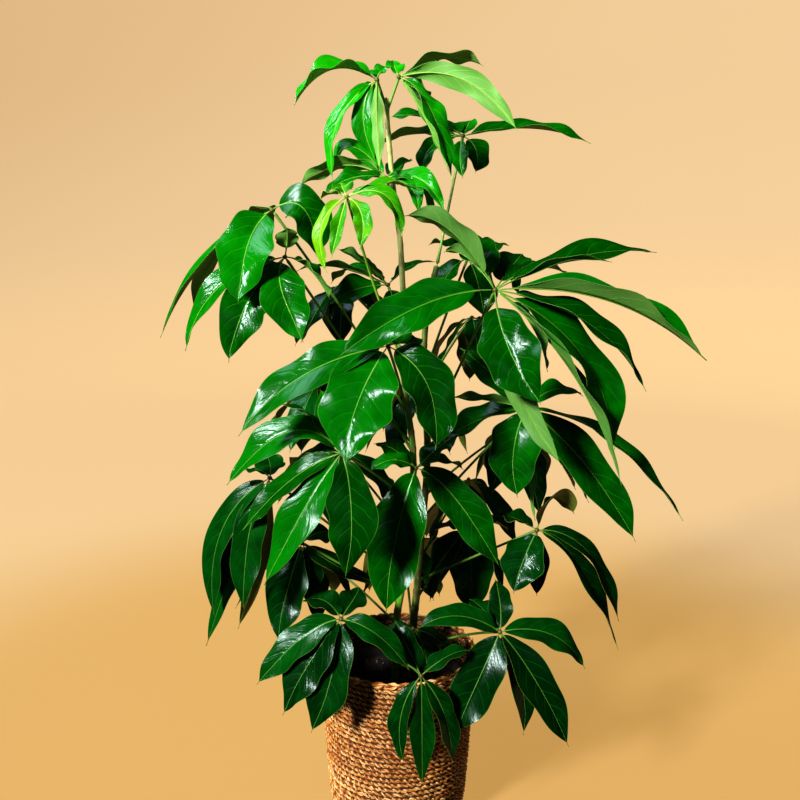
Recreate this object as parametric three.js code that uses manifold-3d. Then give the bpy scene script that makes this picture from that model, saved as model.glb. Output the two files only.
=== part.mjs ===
// Potted umbrella plant: a woven seagrass basket, the nursery pot and soil inside it, two canes
// and their palmate leaves. Millimetres, +Z up, origin on the floor under the middle of the basket.
import * as THREE from 'three';
import * as BufferGeometryUtils from 'three/addons/utils/BufferGeometryUtils.js';
import Module from 'manifold-3d';

const wasm = await Module();
wasm.setup();

// Driving dimensions.
const fitGap = 0.3;
const basketHeight = 328;
const basketRimRadius = 144;
const basketFootRadius = 119;
const basketSwell = 0.42;
const basketWall = 9;
const basketFloor = 8;
const weaveRows = 11;
const weaveSteps = 28;
const weaveRelief = 3;
const weaveSink = 1.2;
const braidReach = 2.5;
const braidHeight = 13;
const braidShoulder = 0.3; // share of the braid's height below its belly, and above it
const rimSlant = 1;
const liningShares = [0.5, 0.15]; // heights where the lining follows the outside, as shares of the basket's
const potTopRadius = 118;
const potFootRadius = 94;
const potHeight = 266;
const potWall = 2.5;
const potLipReach = 5;
const potLipHeight = 14;
const soilBelowLip = 20;
const soilSideGap = 0.7;
const soilRings = [0.8, 0.58, 0.36, 0.16]; // shares of the soil's radius
const soilRelief = 3;
const soilWaveAcross = 0.11; // radians per millimetre, as the next
const soilWaveDeep = 0.13;
const soilWaveStart = 1;
const surfaceBand = 1; // how near the soil's top and edge a corner counts as on them
const turnedSteps = 26;
const caneRootDepth = 120;
const caneRootLean = 0.8;
const caneSides = 8;
const caneSteps = 17;
const caneSamples = 200;
const unitTubeReach = 1.01; // just over the radius of a tube of radius 1
const petioleSteps = 3;
const petioleRadius = 2.7;
const petioleSides = 4;
const knuckleRadius = 5.5;
const bladeThickness = 2.4;
const stalkFootHalfWidth = 1.2;
const stalkHalfWidth = 1.8;
const plainFold = 0.2; // rise of a blade's margins by its half width, where none is listed
const edgeWave = 0.05;
const outlineSkew = 0.9;
const outlineFullness = 0.62;
const middleAhead = 0.55; // share of a tip's reach ahead that its leaflet's middle has
const weldDistance = 1e-3;

// Sections of a leaflet: its foot at the hub, the foot of the blade, then shares of the blade's length.
const seenSections = [0, 0.02, 0.18, 0.47, 0.79];
const farSections = [0, 0.02, 0.26, 0.66];

// Colours and roughness.
const basketTone = [0xb5803f, 0.85];
const potTone = [0x181818, 0.55];
const soilTone = [0x2b1d13, 0.95];
const mainCaneTone = [0x6a8f35, 0.5];
const rightCaneTone = [0x4c5a2a, 0.6];
const leafTones = {
  young: [0x4fa62c, 0.4],
  lime: [0x86b93a, 0.4],
  green: [0x24761f, 0.33],
  dark: [0x14501a, 0.3],
};

// Heights that follow from the dimensions.
const potFoot = basketFloor + fitGap;
const potTop = potFoot + potHeight;
const soilTop = potTop - soilBelowLip;

// The view that the leaf places were read from: a place is across and down an 800 x 800 picture,
// with its depth in millimetres, minus towards the viewer.
const upwards = new THREE.Vector3(0, 0, 1);
const viewPoint = new THREE.Vector3(4, -1670, 1170);
const viewTilt = THREE.MathUtils.degToRad(12.6);
const viewFocal = 973;
const pictureMiddle = 400;

function place(across, down, depth) {
  const forward = new THREE.Vector3(0, Math.cos(viewTilt), -Math.sin(viewTilt));
  const upward = new THREE.Vector3(0, Math.sin(viewTilt), Math.cos(viewTilt));
  const ray = forward.clone();
  ray.x += (across - pictureMiddle) / viewFocal;
  ray.addScaledVector(upward, (pictureMiddle - down) / viewFocal);
  return viewPoint.clone().addScaledVector(ray, (depth - viewPoint.y) / ray.y);
}

// Each cane: its radius at the soil and at the top, and the places it passes on its way up.
const canes = {
  main: {
    footRadius: 7.5,
    topRadius: 4,
    places: [
      [396, 625, -20], [403, 580, -16], [412, 500, -10], [413, 450, -8], [405, 385, -8],
      [407, 340, -10], [403, 290, -12], [400, 240, -12], [393, 185, -10], [388, 130, -8], [386, 97, -8],
    ],
  },
  right: {
    footRadius: 8,
    topRadius: 5,
    places: [
      [413, 630, 30], [418, 580, 34], [422, 525, 36], [427, 470, 38], [427, 410, 40], [424, 350, 42],
      [429, 300, 46], [437, 265, 50],
    ],
  },
};

// Each leaf: the cane and the height that it grows from, the bend of its stalk, its hub, the length
// of its leaflet stalks, and its leaflets. A leaflet is its tip across and down, how far its tip lies
// nearer the viewer than the hub, its middle across and down, its width, how far it turns its upper
// face (plus) or its underside (minus) from the natural lie to the viewer, 0 to 1, and, where it is
// folded more than plain, the rise of its margins by its half width.
const leaves = {
  leaf_crown_left: {
    cane: 'main', height: 1288, arch: 0, hub: [377, 80, -14], stalk: 12, tone: 'young',
    leaflets: [
      [294, 105, 40, 332, 69, 44, 0.3, 0.8], [333, 181, 18, 338, 122, 34, 0.5, 0.6],
      [375, 161, 16, 363, 113, 36, 0.35, 0.45], [380, 171, 70, 377, 120, 22, -0.6, 0.5],
      [388, 66, -60, 380, 72, 30, 0], [366, 122, -50, 366, 96, 40, 0],
    ],
  },
  leaf_crown_right: {
    cane: 'main', height: 1280, arch: 0, hub: [399, 77, -12], stalk: 12, tone: 'young',
    leaflets: [
      [394, 60, -50, 395, 68, 30, 0], [483, 66, -30, 446, 58, 40, -0.35, 0.35],
      [517, 132, 60, 464, 80, 38, -0.85, 0.35], [453, 181, 70, 430, 108, 38, 0.3, 0.5],
      [449, 172, 20, 422, 112, 32, -0.3, 0.5], [424, 110, -70, 416, 88, 42, 0],
    ],
  },
  leaf_upper_back: {
    cane: 'right', height: 1040, arch: 0, hub: [463, 136, 95], stalk: 14, tone: 'green',
    leaflets: [
      [591, 144, -20, 532, 128, 48, 0.2, 0.5], [462, 178, 50, 460, 154, 34, 0.3, 0.5],
      [476, 173, 40, 476, 150, 48, 0.2, 0.4], [388, 118, -30, 424, 117, 46, 0.2, 0.4],
      [375, 148, 10, 411, 134, 42, -0.3, 0.45], [422, 175, 40, 432, 146, 38, 0.2],
      [443, 119, -70, 452, 126, 36, 0], [471, 120, -95, 467, 127, 38, 0],
    ],
  },
  leaf_upper_mid: {
    cane: 'main', height: 1130, arch: 0, hub: [386, 178, -30], stalk: 10, tone: 'young',
    leaflets: [
      [299, 187, -22, 343, 165, 38, -0.35, 0.4], [331, 167, -30, 353, 147, 40, 0.4],
      [323, 196, 45, 352, 178, 36, 0.4, 0.5], [443, 212, 60, 421, 180, 36, 0.45, 0.6],
      [419, 214, 80, 411, 188, 30, 0.4, 0.6], [429, 222, 30, 423, 192, 28, -0.5, 0.6],
      [412, 160, -70, 400, 166, 36, 0],
    ],
  },
  leaf_young: {
    cane: 'main', height: 850, arch: -30, hub: [347, 197, -120], stalk: 10, tone: 'lime',
    leaflets: [
      [320, 199, -20, 333, 193, 26, 0.2], [422, 192, -10, 385, 183, 26, 0.2, 0.5],
      [402, 237, 30, 385, 195, 30, 0.5, 0.5], [360, 249, 50, 362, 216, 32, 0.4, 0.5],
      [332, 258, 40, 339, 225, 25, 0.3, 0.6], [326, 273, 20, 322, 226, 27, 0.2, 0.6],
      [341, 183, -25, 343, 189, 34, 0],
    ],
  },
  leaf_left_upper: {
    cane: 'main', height: 770, arch: 20, hub: [272, 210, -30], stalk: 16, tone: 'green',
    leaflets: [
      [318, 257, 40, 303, 208, 76, 0.6], [241, 304, 95, 248, 244, 94, 0.6],
      [193, 310, -30, 217, 256, 44, -0.3, 0.4], [160, 338, 0, 205, 262, 38, 0.25, 0.6],
      [255, 250, -110, 262, 214, 60, 0],
    ],
  },
  leaf_left: {
    cane: 'main', height: 700, arch: 10, hub: [285, 257, -60], stalk: 16, tone: 'green',
    leaflets: [
      [306, 341, 80, 281, 288, 74, 0.5], [232, 363, 50, 246, 305, 76, 0.8],
      [185, 351, 10, 218, 288, 50, 0.4], [287, 227, 12, 287, 241, 40, 0],
      [262, 318, -50, 270, 284, 60, 0], [330, 300, -10, 309, 268, 56, 0],
    ],
  },
  leaf_behind_centre: {
    cane: 'right', height: 760, arch: 10, hub: [388, 285, 85], stalk: 12, tone: 'dark',
    leaflets: [
      [337, 248, -20, 362, 260, 46, -0.3], [436, 262, -40, 411, 266, 52, 0.1],
      [330, 284, -50, 356, 268, 58, 0], [296, 272, 20, 335, 266, 42, -0.2],
      [328, 306, 20, 354, 290, 62, 0.4], [395, 334, 40, 394, 306, 54, 0.3],
    ],
  },
  leaf_behind_right: {
    cane: 'right', height: 830, arch: 10, hub: [468, 258, 135], stalk: 14, tone: 'dark',
    leaflets: [
      [428, 245, -20, 446, 244, 54, 0], [510, 246, -30, 490, 246, 54, 0],
      [520, 296, 20, 498, 264, 60, 0.1], [438, 304, 20, 448, 274, 62, 0.2],
      [484, 318, 40, 478, 284, 64, 0.2], [470, 240, -130, 470, 246, 56, 0],
    ],
  },
  leaf_big: {
    cane: 'right', height: 720, arch: 0, hub: [495, 290, -130], stalk: 34, tone: 'dark',
    leaflets: [
      [403, 216, 0, 450, 230, 52, -0.45, 0.45], [444, 252, -60, 467, 257, 44, -0.4, 0.5],
      [472, 234, -120, 479, 254, 62, 0], [339, 358, 60, 420, 306, 74, 0.7],
      [540, 405, 105, 507, 344, 92, 0.8], [562, 467, 62, 517, 386, 46, -0.7],
      [548, 372, 10, 530, 322, 50, 0], [622, 486, 50, 572, 372, 56, -0.2, 0.5],
      [614, 450, 10, 581, 354, 90, 0.5, 0.35], [647, 390, 0, 588, 323, 64, 0.3, 0.45],
      [707, 360, 10, 610, 301, 64, 0.22, 0.87], [657, 253, -80, 582, 256, 64, 0.3, 0.4],
      [612, 262, -30, 560, 263, 34, -0.3, 0.5], [524, 254, -150, 512, 266, 60, 0],
      [570, 276, -130, 536, 268, 56, 0],
    ],
  },
  leaf_right: {
    cane: 'right', height: 560, arch: 10, hub: [527, 408, -60], stalk: 14, tone: 'dark',
    leaflets: [
      [515, 498, 60, 514, 448, 88, 0.85], [683, 521, 30, 612, 440, 48, 0.15],
      [634, 543, 50, 588, 468, 74, 0.6], [589, 503, -10, 560, 452, 54, 0.2],
      [450, 398, -20, 488, 400, 40, -0.3], [583, 396, -70, 556, 389, 46, 0.2],
      [536, 521, 20, 529, 478, 40, -0.5], [459, 349, -60, 492, 374, 54, 0.4],
      [430, 452, -75, 474, 422, 72, 0.4],
    ],
  },
  leaf_front: {
    cane: 'main', height: 760, arch: 10, hub: [388, 346, -150], stalk: 14, tone: 'dark',
    leaflets: [
      [343, 465, 90, 358, 402, 112, 0.8], [238, 436, 40, 302, 376, 68, 0.6],
      [433, 450, 60, 428, 386, 84, 0.6], [424, 340, -60, 405, 341, 44, 0.2],
      [404, 326, -90, 397, 336, 50, 0],
    ],
  },
  leaf_left_mid: {
    cane: 'main', height: 605, arch: 10, hub: [342, 453, -120], stalk: 14, tone: 'dark',
    leaflets: [
      [228, 487, -10, 288, 432, 60, 0.5], [243, 531, 0, 291, 480, 50, 0.5],
      [265, 586, 40, 306, 506, 66, 0.6], [349, 579, 80, 351, 506, 80, 0.5],
      [288, 466, -75, 311, 454, 56, 0.1], [277, 404, -60, 309, 416, 48, -0.3],
      [318, 390, -100, 331, 416, 54, 0.3],
    ],
  },
  leaf_left_low: {
    cane: 'main', height: 460, arch: 0, hub: [270, 478, -80], stalk: 12, tone: 'dark',
    leaflets: [
      [245, 611, 50, 249, 534, 54, 0.6], [214, 618, 10, 221, 532, 58, 0.55],
      [205, 645, -30, 234, 566, 50, 0.62], [239, 629, -10, 259, 556, 46, -0.6],
      [246, 470, -40, 259, 470, 36, 0], [266, 455, -100, 270, 464, 50, 0],
    ],
  },
  leaf_low_behind_left: {
    cane: 'main', height: 418, arch: 10, hub: [302, 543, -10], stalk: 12, tone: 'dark',
    leaflets: [
      [275, 641, 50, 288, 588, 74, 0.6], [309, 598, 20, 309, 566, 46, 0.2],
      [379, 583, 20, 341, 568, 48, 0.25], [331, 532, -60, 317, 533, 52, 0.3],
      [262, 566, -30, 281, 547, 54, 0.1], [300, 545, -120, 301, 535, 56, 0],
    ],
  },
  leaf_centre: {
    cane: 'main', height: 600, arch: 0, hub: [416, 468, -45], stalk: 10, tone: 'dark',
    leaflets: [
      [383, 614, 60, 397, 533, 104, 0.8], [499, 568, 40, 455, 498, 68, 0.6],
      [374, 443, -30, 393, 449, 44, 0.3], [370, 472, 20, 392, 460, 40, 0.2],
      [463, 432, 0, 443, 444, 54, 0.3], [464, 470, -20, 443, 461, 42, 0],
    ],
  },
  leaf_right_low: {
    cane: 'right', height: 440, arch: 0, hub: [537, 530, -50], stalk: 10, tone: 'dark',
    leaflets: [
      [512, 593, 50, 524, 559, 74, 0.5], [575, 514, -40, 554, 497, 60, -0.35],
      [618, 622, 0, 588, 552, 42, 0.35], [618, 650, 20, 580, 566, 50, 0.45],
      [497, 514, -40, 517, 519, 54, 0], [537, 596, 10, 537, 564, 40, 0.1],
    ],
  },
  leaf_low_behind_right: {
    cane: 'right', height: 400, arch: 10, hub: [466, 528, 75], stalk: 12, tone: 'dark',
    leaflets: [
      [472, 613, 30, 471, 566, 82, 0.4], [430, 602, 20, 444, 558, 66, 0.2],
      [504, 596, 10, 489, 554, 62, 0.2], [428, 536, 0, 446, 526, 58, 0],
      [508, 530, -50, 489, 522, 58, 0],
    ],
  },
  leaf_low_inner: {
    cane: 'main', height: 345, arch: 10, hub: [413, 629, -60], stalk: 8, tone: 'dark',
    leaflets: [
      [391, 652, 20, 400, 631, 42, 0.4], [426, 673, 20, 424, 649, 48, 0.5],
      [452, 656, -5, 436, 638, 40, 0.3], [387, 641, -50, 399, 632, 34, 0.1],
    ],
  },
  leaf_rim_right: {
    cane: 'right', height: 300, arch: 20, hub: [500, 632, -110], stalk: 8, tone: 'dark',
    leaflets: [
      [493, 579, -70, 500, 602, 42, 0], [418, 628, 10, 458, 616, 48, 0.5],
      [454, 733, 50, 483, 670, 76, 0.85], [570, 746, 40, 534, 678, 62, 0.6],
      [524, 735, 0, 522, 688, 44, 0.5], [586, 667, 10, 550, 634, 54, 0.6],
      [468, 600, -90, 484, 610, 46, 0],
    ],
  },
  leaf_rim_left: {
    cane: 'main', height: 300, arch: 20, hub: [341, 619, -140], stalk: 8, tone: 'dark',
    leaflets: [
      [302, 602, -60, 323, 600, 50, 0.3], [258, 686, 10, 301, 638, 54, 0.6],
      [281, 714, 30, 311, 660, 72, 0.6], [313, 734, 50, 332, 674, 72, 0.6],
      [410, 670, 45, 376, 634, 46, 0.6], [362, 588, -70, 353, 600, 48, 0],
    ],
  },
  leaf_rim_front: {
    cane: 'main', height: 285, arch: 30, hub: [421, 676, -168], stalk: 12, tone: 'dark',
    leaflets: [
      [403, 764, 12, 401, 716, 40, 0.6, 0.4], [422, 785, 20, 422, 730, 42, 0.6, 0.4],
      [451, 764, 10, 445, 716, 40, 0.6, 0.4], [394, 621, -60, 406, 644, 42, 0],
      [470, 650, -30, 448, 656, 38, 0.1], [438, 668, -30, 430, 669, 24, 0],
    ],
  },
};

// Leaves on the far side of the canes, which follow one rule: cane, height of the hub, heading and reach
// from the cane, and the length of the longest leaflet.
const farLeaves = [
  ['main', 985, 128, 190, 165],
  ['right', 915, 60, 185, 180],
  ['main', 825, 152, 180, 190],
  ['right', 770, 92, 220, 215],
  ['right', 715, 28, 195, 195],
  ['main', 650, 125, 230, 220],
  ['right', 585, 60, 205, 210],
  ['main', 490, 150, 195, 200],
  ['right', 445, 95, 215, 205],
];
const farLeafletCount = 6;
const farSpread = 280; // degrees from the first leaflet to the last
const farSpreadDraw = 12;
const farStalk = 16;
const farDrop = 110; // from a hub down to where its stalk leaves the cane
const farArch = 15;
const farWidthShare = 0.37;
const farMiddleLift = 0.16; // rise of a leaflet's middle by its length
const farShortening = 0.35; // how much shorter a leaflet is that points back to the cane
const farLengthLeast = 0.92;
const farLengthDraw = 0.16;
const farDroopLeast = 38; // degrees
const farDroopDraw = 24;
const farSeed = 101;
const randomMultiplier = 16807;
const randomModulus = 2147483647;

// Curve of a leaflet from the hub through its middle to its tip.
function leafletCurve(hub, middle, tip) {
  const bend = middle.clone().multiplyScalar(2).addScaledVector(hub, -0.5).addScaledVector(tip, -0.5);
  return new THREE.QuadraticBezierCurve3(hub, bend, tip);
}

// Half width of a blade along its length, 1 at its widest.
function bladeOutline(along) {
  const swell = Math.sin(Math.PI * Math.pow(along, outlineSkew));
  return Math.pow(Math.max(swell, 0), outlineFullness);
}

// Direction of the upper face: the natural lie is up and outwards, turned part of the way to the viewer.
function upperFace(curve, point, tangent, turn) {
  const heading = curve.v2.clone().sub(curve.v0).setZ(0);
  const across = new THREE.Vector3(heading.y, -heading.x, 0).normalize();
  const natural = across.cross(tangent).normalize();
  const toViewer = viewPoint.clone().sub(point);
  toViewer.addScaledVector(tangent, -toViewer.dot(tangent)).normalize();
  return natural.multiplyScalar(1 - Math.abs(turn)).addScaledVector(toViewer, turn).normalize();
}

// Closed body through rings of points, with matching diagonals on its upper and lower faces.
function loftRings(rings, tip) {
  const points = rings.flat().concat([tip]);
  const sides = rings[0].length;
  const faces = [];
  for (let ring = 0; ring < rings.length - 1; ring += 1) {
    for (let side = 0; side < sides; side += 1) {
      const a = ring * sides + side;
      const b = ring * sides + (side + 1) % sides;
      const c = b + sides;
      const d = a + sides;
      faces.push(...(side % 2 === 0 ? [a, b, c, a, c, d] : [a, b, d, b, c, d]));
    }
  }
  const last = (rings.length - 1) * sides;
  for (let side = 0; side < sides; side += 1) {
    faces.push(last + side, last + (side + 1) % sides, points.length - 1);
  }
  for (let side = 1; side < sides - 1; side += 1) {
    faces.push(0, side + 1, side);
  }
  const geometry = new THREE.BufferGeometry().setFromPoints(points);
  geometry.setIndex(faces);
  return geometry;
}

// One leaflet: a thin stalk that widens into an arched blade, folded a little along its midrib.
function leafletGeometry({ curve, width, turn, fold }, stalk, sections, waveSign) {
  const stalkShare = stalk / curve.getLength();
  const foldReach = Math.sqrt(1 - fold * fold);
  const rings = sections.map((blade, index) => {
    const along = index === 0 ? 0 : stalkShare + (1 - stalkShare) * blade;
    const point = curve.getPointAt(along);
    const tangent = curve.getTangentAt(along);
    const upper = upperFace(curve, point, tangent, turn);
    const side = tangent.clone().cross(upper).normalize();
    const stalkHalf = index === 0 ? stalkFootHalfWidth : stalkHalfWidth;
    const onStalk = index < 2;
    const half = onStalk ? stalkHalf : bladeOutline(blade) * width / 2;
    const reach = onStalk ? half : half * foldReach;
    const thick = onStalk ? stalkHalf : bladeThickness / 2;
    const rise = onStalk ? 0 : fold * half;
    const lift = onStalk ? 0 : edgeWave * width * (index % 2 === 0 ? waveSign : -waveSign);
    return [
      point.clone().addScaledVector(side, -reach).addScaledVector(upper, rise + lift),
      point.clone().addScaledVector(upper, thick),
      point.clone().addScaledVector(side, reach).addScaledVector(upper, rise - lift),
      point.clone().addScaledVector(upper, -thick),
    ];
  });
  return loftRings(rings, curve.v2);
}

function toSolid(geometry) {
  const bare = geometry.clone();
  bare.deleteAttribute('normal');
  bare.deleteAttribute('uv');
  const merged = BufferGeometryUtils.mergeVertices(bare, weldDistance);
  const corners = merged.index.array;
  const whole = [];
  for (let i = 0; i < corners.length; i += 3) {
    const [a, b, c] = [corners[i], corners[i + 1], corners[i + 2]];
    if (a !== b && b !== c && c !== a) {
      whole.push(a, b, c);
    }
  }
  const triVerts = new Uint32Array(whole);
  const vertProperties = new Float32Array(merged.attributes.position.array);
  return new wasm.Manifold(new wasm.Mesh({ numProp: 3, vertProperties, triVerts }));
}

function toGeometry(solid) {
  const mesh = solid.getMesh();
  const geometry = new THREE.BufferGeometry();
  geometry.setAttribute('position', new THREE.BufferAttribute(mesh.vertProperties, 3));
  geometry.setIndex(new THREE.BufferAttribute(mesh.triVerts, 1));
  return geometry;
}

// Round path of a cane, from its root in the soil up through its places.
function canePath(cane, allowance) {
  const points = cane.places.map((spot) => place(...spot));
  const root = points[0].clone().multiplyScalar(caneRootLean).setZ(soilTop - caneRootDepth - allowance);
  return new THREE.CatmullRomCurve3([root, ...points]);
}

function circleShape(radius, sides) {
  const corners = [];
  for (let i = 0; i < sides; i += 1) {
    const angle = (i / sides) * Math.PI * 2;
    corners.push(new THREE.Vector2(radius * Math.cos(angle), radius * Math.sin(angle)));
  }
  return new THREE.Shape(corners);
}

function alongPath(path, radius, sides, steps) {
  const options = { steps, extrudePath: path, bevelEnabled: false };
  return new THREE.ExtrudeGeometry(circleShape(radius, sides), options);
}

// Cane that narrows upwards; the allowance makes it fatter all round, to cut its seat in other pieces.
function caneGeometry(cane, allowance) {
  const path = canePath(cane, allowance);
  const centres = path.getSpacedPoints(caneSteps);
  const geometry = alongPath(path, 1, caneSides, caneSteps);
  const positions = geometry.attributes.position;
  const corner = new THREE.Vector3();
  for (let i = 0; i < positions.count; i += 1) {
    corner.fromBufferAttribute(positions, i);
    const step = centres.findIndex((centre) => centre.distanceTo(corner) < unitTubeReach);
    const radius = THREE.MathUtils.lerp(cane.footRadius, cane.topRadius, step / caneSteps) + allowance;
    corner.sub(centres[step]).multiplyScalar(radius).add(centres[step]);
    positions.setXYZ(i, corner.x, corner.y, corner.z);
  }
  return geometry;
}

// Where a cane's middle is at a height.
function caneCentre(cane, height) {
  const samples = canePath(cane, 0).getSpacedPoints(caneSamples);
  return samples.find((sample) => sample.z >= height) ?? samples[samples.length - 1];
}

// Whole leaf: its stalk from the cane, the knuckle at the hub and the leaflets, fused and seated on the cane.
function leafSolid(leaf, hub, leaflets, sections) {
  const cane = canes[leaf.cane];
  const foot = caneCentre(cane, leaf.height);
  const bend = foot.clone().add(hub).multiplyScalar(0.5);
  bend.z += leaf.arch;
  const stalk = new THREE.QuadraticBezierCurve3(foot, bend, hub);
  const knuckle = new THREE.IcosahedronGeometry(knuckleRadius, 0).translate(hub.x, hub.y, hub.z);
  let solid = toSolid(alongPath(stalk, petioleRadius, petioleSides, petioleSteps)).add(toSolid(knuckle));
  leaflets.forEach((leaflet, index) => {
    const waveSign = index % 2 === 0 ? 1 : -1;
    solid = solid.add(toSolid(leafletGeometry(leaflet, leaf.stalk, sections, waveSign)));
  });
  return solid.subtract(toSolid(caneGeometry(cane, fitGap)));
}

// Leaf whose leaflets are listed by their places in the view.
function seenLeaf(leaf) {
  const hub = place(...leaf.hub);
  const leaflets = leaf.leaflets.map((row) => {
    const [tipAcross, tipDown, ahead, midAcross, midDown, width, turn, fold = plainFold] = row;
    const tip = place(tipAcross, tipDown, hub.y - ahead);
    const middle = place(midAcross, midDown, hub.y - ahead * middleAhead);
    return { curve: leafletCurve(hub, middle, tip), width, turn, fold };
  });
  return leafSolid(leaf, hub, leaflets, seenSections);
}

// Seeded random numbers, the same on every run.
function seededRandom(seed) {
  let state = seed;
  return () => {
    state = (state * randomMultiplier) % randomModulus;
    return state / randomModulus;
  };
}

function farLeaf([cane, height, heading, reach, longest], index) {
  const random = seededRandom(farSeed + index);
  const leaf = { cane, height: height - farDrop, arch: farArch, stalk: farStalk };
  const outward = THREE.MathUtils.degToRad(heading);
  const foot = caneCentre(canes[cane], leaf.height);
  const hub = new THREE.Vector3(reach, 0, 0).applyAxisAngle(upwards, outward).add(foot).setZ(height);
  const leaflets = [];
  for (let i = 0; i < farLeafletCount; i += 1) {
    const offset = (i / (farLeafletCount - 1) - 0.5) * farSpread + farSpreadDraw * (random() - 0.5);
    const shortening = 1 - farShortening * Math.abs(offset) / 180;
    const length = longest * shortening * (farLengthLeast + farLengthDraw * random());
    const droop = THREE.MathUtils.degToRad(farDroopLeast + farDroopDraw * random());
    const tip = new THREE.Vector3(Math.cos(droop), 0, -Math.sin(droop));
    tip.applyAxisAngle(upwards, outward + THREE.MathUtils.degToRad(offset));
    const middle = tip.clone().multiplyScalar(0.5);
    middle.z += farMiddleLift;
    tip.multiplyScalar(length).add(hub);
    middle.multiplyScalar(length).add(hub);
    const curve = leafletCurve(hub, middle, tip);
    leaflets.push({ curve, width: length * farWidthShare, turn: 0, fold: plainFold });
  }
  return leafSolid(leaf, hub, leaflets, farSections);
}

// Outer radius of the basket at a height.
function basketRadius(height) {
  const share = Math.pow(height / basketHeight, basketSwell);
  return basketFootRadius + (basketRimRadius - basketFootRadius) * share;
}

// Basket: a turned shell with a floor, whose rows stand out by turns like woven strands.
function basketGeometry() {
  const profile = [new THREE.Vector2(0, 0)];
  const rowHeight = (basketHeight - braidHeight) / weaveRows;
  const firstRow = profile.length;
  for (let row = 0; row <= weaveRows; row += 1) {
    profile.push(new THREE.Vector2(basketRadius(row * rowHeight), row * rowHeight));
    if (row < weaveRows) {
      const crest = (row + 0.5) * rowHeight;
      profile.push(new THREE.Vector2(basketRadius(crest), crest));
    }
  }
  const lastRow = profile.length - 1;
  const braid = basketRimRadius + braidReach;
  profile.push(new THREE.Vector2(braid, basketHeight - braidHeight * (1 - braidShoulder)));
  profile.push(new THREE.Vector2(braid, basketHeight - braidHeight * braidShoulder));
  profile.push(new THREE.Vector2(basketRimRadius - rimSlant, basketHeight));
  profile.push(new THREE.Vector2(basketRimRadius - basketWall, basketHeight));
  for (const height of [...liningShares.map((share) => share * basketHeight), basketFloor]) {
    profile.push(new THREE.Vector2(basketRadius(height) - basketWall - weaveRelief, height));
  }
  profile.push(new THREE.Vector2(0, basketFloor));
  const geometry = new THREE.LatheGeometry(profile, weaveSteps).rotateX(Math.PI / 2);
  const positions = geometry.attributes.position;
  for (let i = 0; i < positions.count; i += 1) {
    const level = i % profile.length;
    const step = Math.floor(i / profile.length) % weaveSteps;
    const row = (level - firstRow - 1) / 2;
    if (level > firstRow && level < lastRow && Number.isInteger(row)) {
      const outward = (row + step) % 2 === 0 ? weaveRelief : -weaveSink;
      const grow = 1 + outward / basketRadius(positions.getZ(i));
      positions.setXY(i, positions.getX(i) * grow, positions.getY(i) * grow);
    }
  }
  return geometry;
}

function turned(points) {
  const profile = points.map(([radius, height]) => new THREE.Vector2(radius, height));
  return new THREE.LatheGeometry(profile, turnedSteps).rotateX(Math.PI / 2);
}

// Plain plastic pot that the plant grew up in, standing on the basket floor.
function potGeometry() {
  const lipBase = potTop - potLipHeight;
  return turned([
    [0, potFoot], [potFootRadius, potFoot], [potTopRadius, lipBase], [potTopRadius + potLipReach, lipBase],
    [potTopRadius + potLipReach, potTop], [potTopRadius - potWall, potTop],
    [potFootRadius - potWall, potFoot + potWall], [0, potFoot + potWall],
  ]);
}

// Soil: it fills the pot to below the lip, with a crumbly top and a plain hole for each cane.
function soilSolid() {
  const base = potFoot + potWall + fitGap;
  const inner = (height) => {
    const share = (height - potFoot - potWall) / (potHeight - potWall);
    return potFootRadius + (potTopRadius - potFootRadius) * share - potWall - soilSideGap;
  };
  const edge = inner(soilTop);
  const rings = soilRings.map((share) => [edge * share, soilTop]);
  const geometry = turned([[0, base], [inner(base), base], [edge, soilTop], ...rings, [0, soilTop]]);
  const positions = geometry.attributes.position;
  for (let i = 0; i < positions.count; i += 1) {
    const x = positions.getX(i);
    const y = positions.getY(i);
    if (positions.getZ(i) > soilTop - surfaceBand && Math.hypot(x, y) < edge - surfaceBand) {
      const swell = Math.sin(x * soilWaveAcross + soilWaveStart) * Math.cos(y * soilWaveDeep);
      positions.setZ(i, soilTop + soilRelief * swell);
    }
  }
  let solid = toSolid(geometry);
  for (const cane of Object.values(canes)) {
    solid = solid.subtract(toSolid(caneGeometry(cane, fitGap)));
  }
  return solid;
}

const plant = new THREE.Group();

function addPiece(name, geometry, colour, roughness) {
  const material = new THREE.MeshStandardMaterial({ color: colour, roughness, metalness: 0 });
  const piece = new THREE.Mesh(geometry, material);
  piece.name = name;
  plant.add(piece);
}

addPiece('basket', basketGeometry(), ...basketTone);
addPiece('nursery_pot', potGeometry(), ...potTone);
addPiece('soil', toGeometry(soilSolid()), ...soilTone);
addPiece('cane_main', caneGeometry(canes.main, 0), ...mainCaneTone);
addPiece('cane_right', caneGeometry(canes.right, 0), ...rightCaneTone);
for (const [name, leaf] of Object.entries(leaves)) {
  addPiece(name, toGeometry(seenLeaf(leaf)), ...leafTones[leaf.tone]);
}
farLeaves.forEach((row, index) => {
  addPiece(`leaf_far_${index + 1}`, toGeometry(farLeaf(row, index)), ...leafTones.dark);
});

export default plant;
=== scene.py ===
# Potted umbrella plant: leaves, canes, soil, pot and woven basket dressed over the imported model.
import math
import random
import bmesh
import bpy
from mathutils import Matrix, Vector, noise


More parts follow.
